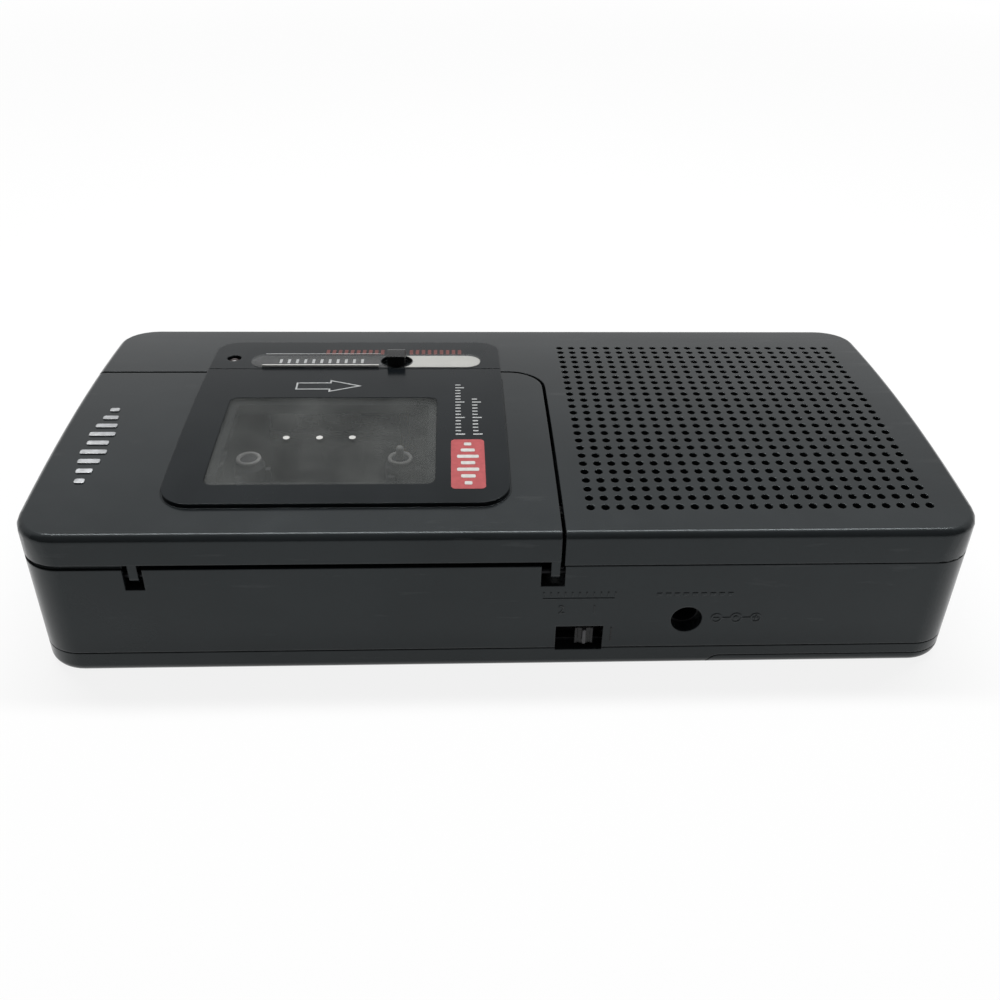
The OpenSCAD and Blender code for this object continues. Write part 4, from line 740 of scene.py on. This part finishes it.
FAR_MARK_Z = 18.7
RECORD_X = -43.75
RECORD_SIGN = disc(0, 0, 0.85)
KEY_SIGNS = {
    "rewind": (-34.25, [[triangle(-0.7, 1.4, 1)], [triangle(0.7, 1.4, 1)]]),
    "play": (-24.75, [[triangle(0, 1.7, -1)]]),
    "forward": (-15.25, [[triangle(-0.7, 1.4, -1)], [triangle(0.7, 1.4, -1)]]),
    "stop": (-5.75, [[bar(-0.75, 0.75, -0.75, 0.75)]]),
}
DIAL_X = 13.0
VOLUME_WEDGE = [(-3.6, -0.6), (3.6, -0.6), (3.6, 0.75)]


def key_marks():
    """Usual transport symbols over the keys, drawn as seen from the far side."""
    for name, (x, sign) in KEY_SIGNS.items():
        wall_marks(name + "_mark", sign, "far", (x, FAR_Y, FAR_MARK_Z), INK, INK_WHITE, "cabinet")
    wall_marks("record_mark", [[RECORD_SIGN]], "far", (RECORD_X, FAR_Y, FAR_MARK_Z),
               INK, INK_RED, "cabinet")


def volume_marks():
    wall_marks("volume_wedge", [[VOLUME_WEDGE]], "far", (DIAL_X, FAR_Y, FAR_MARK_Z),
               INK, INK_WHITE, "cabinet")


EARPHONE_Y, MICROPHONE_Y, SOCKET_MARK_Z = -14.0, 2.0, 11.0
EARPHONE_SIGN = [[disc(0, 0, 0.3)], [disc(0, 0, 0.85), disc(0, 0, 0.65)]]
MICROPHONE_SIGN = [[rounded(-0.35, 0.35, -0.2, 0.9, 0.3)], [bar(-0.1, 0.1, -0.8, -0.3)],
                   [bar(-0.45, 0.45, -0.9, -0.75)]]
VOICE_MARKS = (("voice_off", "0", 22.2), ("voice_on", "1", 15.8))
VOICE_MARK_Z, VOICE_NUMBER_TALL = 10.9, 1.7


def end_marks():
    """Symbols at the lid end: sockets and switch places."""
    wall_marks("earphone_mark", EARPHONE_SIGN, "left", (LEFT_X, EARPHONE_Y, SOCKET_MARK_Z),
               INK, INK_WHITE, "cabinet")
    wall_marks("microphone_mark", MICROPHONE_SIGN, "left", (LEFT_X, MICROPHONE_Y, SOCKET_MARK_Z),
               INK, INK_RED, "cabinet")
    for name, text, y in VOICE_MARKS:
        wall_marks(name, numerals(text, VOICE_NUMBER_TALL), "left", (LEFT_X, y, VOICE_MARK_Z),
                   INK, INK_WHITE, "cabinet")


SCREW_PLACES = [(-54.4, -23.7), (-54.4, 23.7), (24.4, 23.7), (-5.45, -24.7)]
SCREW_FACE_Z, CROSS_DEPTH = 0.5, 0.02
CROSS_REACH, CROSS_W = 1.05, 0.36
DOOR_ARROW_AT, DOOR_ARROW_RELIEF = (46.0, 0.0, 0.0), 0.06
DOOR_ARROW = [(-2.4, -2.2), (2.4, 0), (-2.4, 2.2)]


# Painted shade: flat dark crosses on the screw heads stand in for the shadow inside their cross recesses.
def screw_slot_shades():
    r, w = CROSS_REACH, CROSS_W / 2
    cross = [(-r, -w), (-w, -w), (-w, -r), (w, -r), (w, -w), (r, -w),
             (r, w), (w, w), (w, r), (-w, r), (-w, w), (-r, w)]
    crosses = [[[(x + a, -y + b) for a, b in cross]] for x, y in SCREW_PLACES]
    wall_marks("screw_slot_shades", crosses, "back", (0, 0, SCREW_FACE_Z), CROSS_DEPTH, SOCKET, "cabinet")


def door_mark():
    wall_marks("door_arrow", [[DOOR_ARROW]], "back", DOOR_ARROW_AT,
               DOOR_ARROW_RELIEF, SHELL, "battery_door")


# ---- Floor, light and camera

FLOOR_HALF = 3.0
FLOOR_Z = -0.02 * MM
CAMERA_AT = Vector((-6.44, -133.56, 96.53)) * MM
CAMERA_FORWARD = Vector((0.0438, 0.8301, -0.5559))
CAMERA_RIGHT = Vector((0.999, -0.0398, 0.0194))
LENS_MM, SENSOR_MM = 37.795, 36.0
CLIP_START = 0.005
KEY_POWER = 3.2
KEY_LONG, KEY_WIDE = 0.56, 0.06
KEY_AT = Vector((0.01, 0.12, 0.485))
WORLD_LIGHT, WORLD_WHITE = 0.16, (1.0, 1.0, 1.0, 1.0)
HORIZON_SHOWN, OVERHEAD_SHOWN, NEAR_SHOWN = 0.67, 0.96, 0.2
UPWARD_FADE, NEAR_FADE = (0.3, 0.75), (-0.3, 0.0)
FLOOR_TONE, FLOOR_ROUGH = (0.86, 0.86, 0.86, 1.0), 0.9
FLOOR_GLOW = 0.86
FLOOR_WHITE_FROM, FLOOR_WHITE_TO = 0.16, 0.6


def join(tree, way, one, two):
    made = tree.nodes.new("ShaderNodeMath")
    made.operation = way
    tree.links.new(one, made.inputs[0])
    tree.links.new(two, made.inputs[1])
    return made.outputs[0]


def seen_directly(tree):
    """1 for rays from the camera and for what gloss and glass show, else 0."""
    path = tree.nodes.new("ShaderNodeLightPath")
    shown = join(tree, "MAXIMUM", path.outputs["Is Camera Ray"], path.outputs["Is Glossy Ray"])
    return join(tree, "MAXIMUM", shown, path.outputs["Is Transmission Ray"])


def backdrop_fade(tree):
    """White to the camera; in gloss and glass brighter overhead than low down, and dark on the near side."""
    path = tree.nodes.new("ShaderNodeLightPath")
    coords = tree.nodes.new("ShaderNodeTexCoord")
    split = tree.nodes.new("ShaderNodeSeparateXYZ")
    tree.links.new(coords.outputs["Generated"], split.inputs["Vector"])
    upward = fade(tree, split.outputs["Z"], *UPWARD_FADE, HORIZON_SHOWN, OVERHEAD_SHOWN)
    nearby = fade(tree, split.outputs["Y"], *NEAR_FADE, NEAR_SHOWN, 1.0)
    return join(tree, "MAXIMUM", join(tree, "MULTIPLY", upward, nearby), path.outputs["Is Camera Ray"])


def studio_world():
    world = bpy.data.worlds.new("studio")
    bpy.context.scene.world = world
    world.use_nodes = True
    tree = world.node_tree
    light = tree.nodes["Background"]
    light.inputs["Color"].default_value = WORLD_WHITE
    light.inputs["Strength"].default_value = WORLD_LIGHT
    shown = tree.nodes.new("ShaderNodeBackground")
    shown.inputs["Color"].default_value = WORLD_WHITE
    tree.links.new(backdrop_fade(tree), shown.inputs["Strength"])
    mix = tree.nodes.new("ShaderNodeMixShader")
    tree.links.new(seen_directly(tree), mix.inputs["Fac"])
    tree.links.new(light.outputs[0], mix.inputs[1])
    tree.links.new(shown.outputs[0], mix.inputs[2])
    tree.links.new(mix.outputs[0], tree.nodes["World Output"].inputs["Surface"])


def floor():
    bm = bmesh.new()
    bmesh.ops.create_grid(bm, x_segments=1, y_segments=1, size=FLOOR_HALF)
    mesh = bpy.data.meshes.new("floor")
    bm.to_mesh(mesh)
    bm.free()
    mat = bpy.data.materials.new("pale_floor")
    mat.use_nodes = True
    tree = mat.node_tree
    shader_of(mat).inputs["Base Color"].default_value = FLOOR_TONE
    shader_of(mat).inputs["Roughness"].default_value = FLOOR_ROUGH
    glow = tree.nodes.new("ShaderNodeEmission")
    mix = tree.nodes.new("ShaderNodeMixShader")
    place = tree.nodes.new("ShaderNodeNewGeometry")
    away = tree.nodes.new("ShaderNodeVectorMath")
    away.operation = "LENGTH"
    tree.links.new(place.outputs["Position"], away.inputs[0])
    glowing = fade(tree, away.outputs["Value"], FLOOR_WHITE_FROM, FLOOR_WHITE_TO, FLOOR_GLOW, 1.0)
    tree.links.new(join(tree, "MULTIPLY", seen_directly(tree), glowing), mix.inputs["Fac"])
    tree.links.new(shader_of(mat).outputs[0], mix.inputs[1])
    tree.links.new(glow.outputs[0], mix.inputs[2])
    tree.links.new(mix.outputs[0], tree.nodes["Material Output"].inputs["Surface"])
    mesh.materials.append(mat)
    plane = bpy.data.objects.new("floor", mesh)
    plane.location.z = FLOOR_Z
    bpy.context.scene.collection.objects.link(plane)


def key_light():
    lamp = bpy.data.lights.new("key", "AREA")
    lamp.energy = KEY_POWER
    lamp.shape = "RECTANGLE"
    lamp.size = KEY_LONG
    lamp.size_y = KEY_WIDE
    holder = bpy.data.objects.new("key", lamp)
    holder.location = KEY_AT
    holder.rotation_euler = (-KEY_AT).to_track_quat("-Z", "Y").to_euler()
    bpy.context.scene.collection.objects.link(holder)


def camera():
    data = bpy.data.cameras.new("camera")
    data.lens = LENS_MM
    data.sensor_width = SENSOR_MM
    data.clip_start = CLIP_START
    back = -CAMERA_FORWARD.normalized()
    up = back.cross(CAMERA_RIGHT).normalized()
    right = up.cross(back)
    turn = Matrix((right, up, back)).transposed().to_4x4()
    holder = bpy.data.objects.new("camera", data)
    holder.matrix_world = Matrix.Translation(CAMERA_AT) @ turn
    bpy.context.scene.collection.objects.link(holder)
    bpy.context.scene.camera = holder


dress_solids()
window_dots()
tape_arrow()
badge()
panel_scales()
far_dashes()
counter_films()
painted_lens_glints()
spindle_tip_highlights()
panel_foot()
reset_recess()
reset_button()
foil_bars()
near_wall_marks()
knob_ridge()
key_marks()
volume_marks()
end_marks()
screw_slot_shades()
door_mark()
studio_world()
floor()
key_light()
camera()
bpy.context.scene.view_settings.view_transform = "Standard"
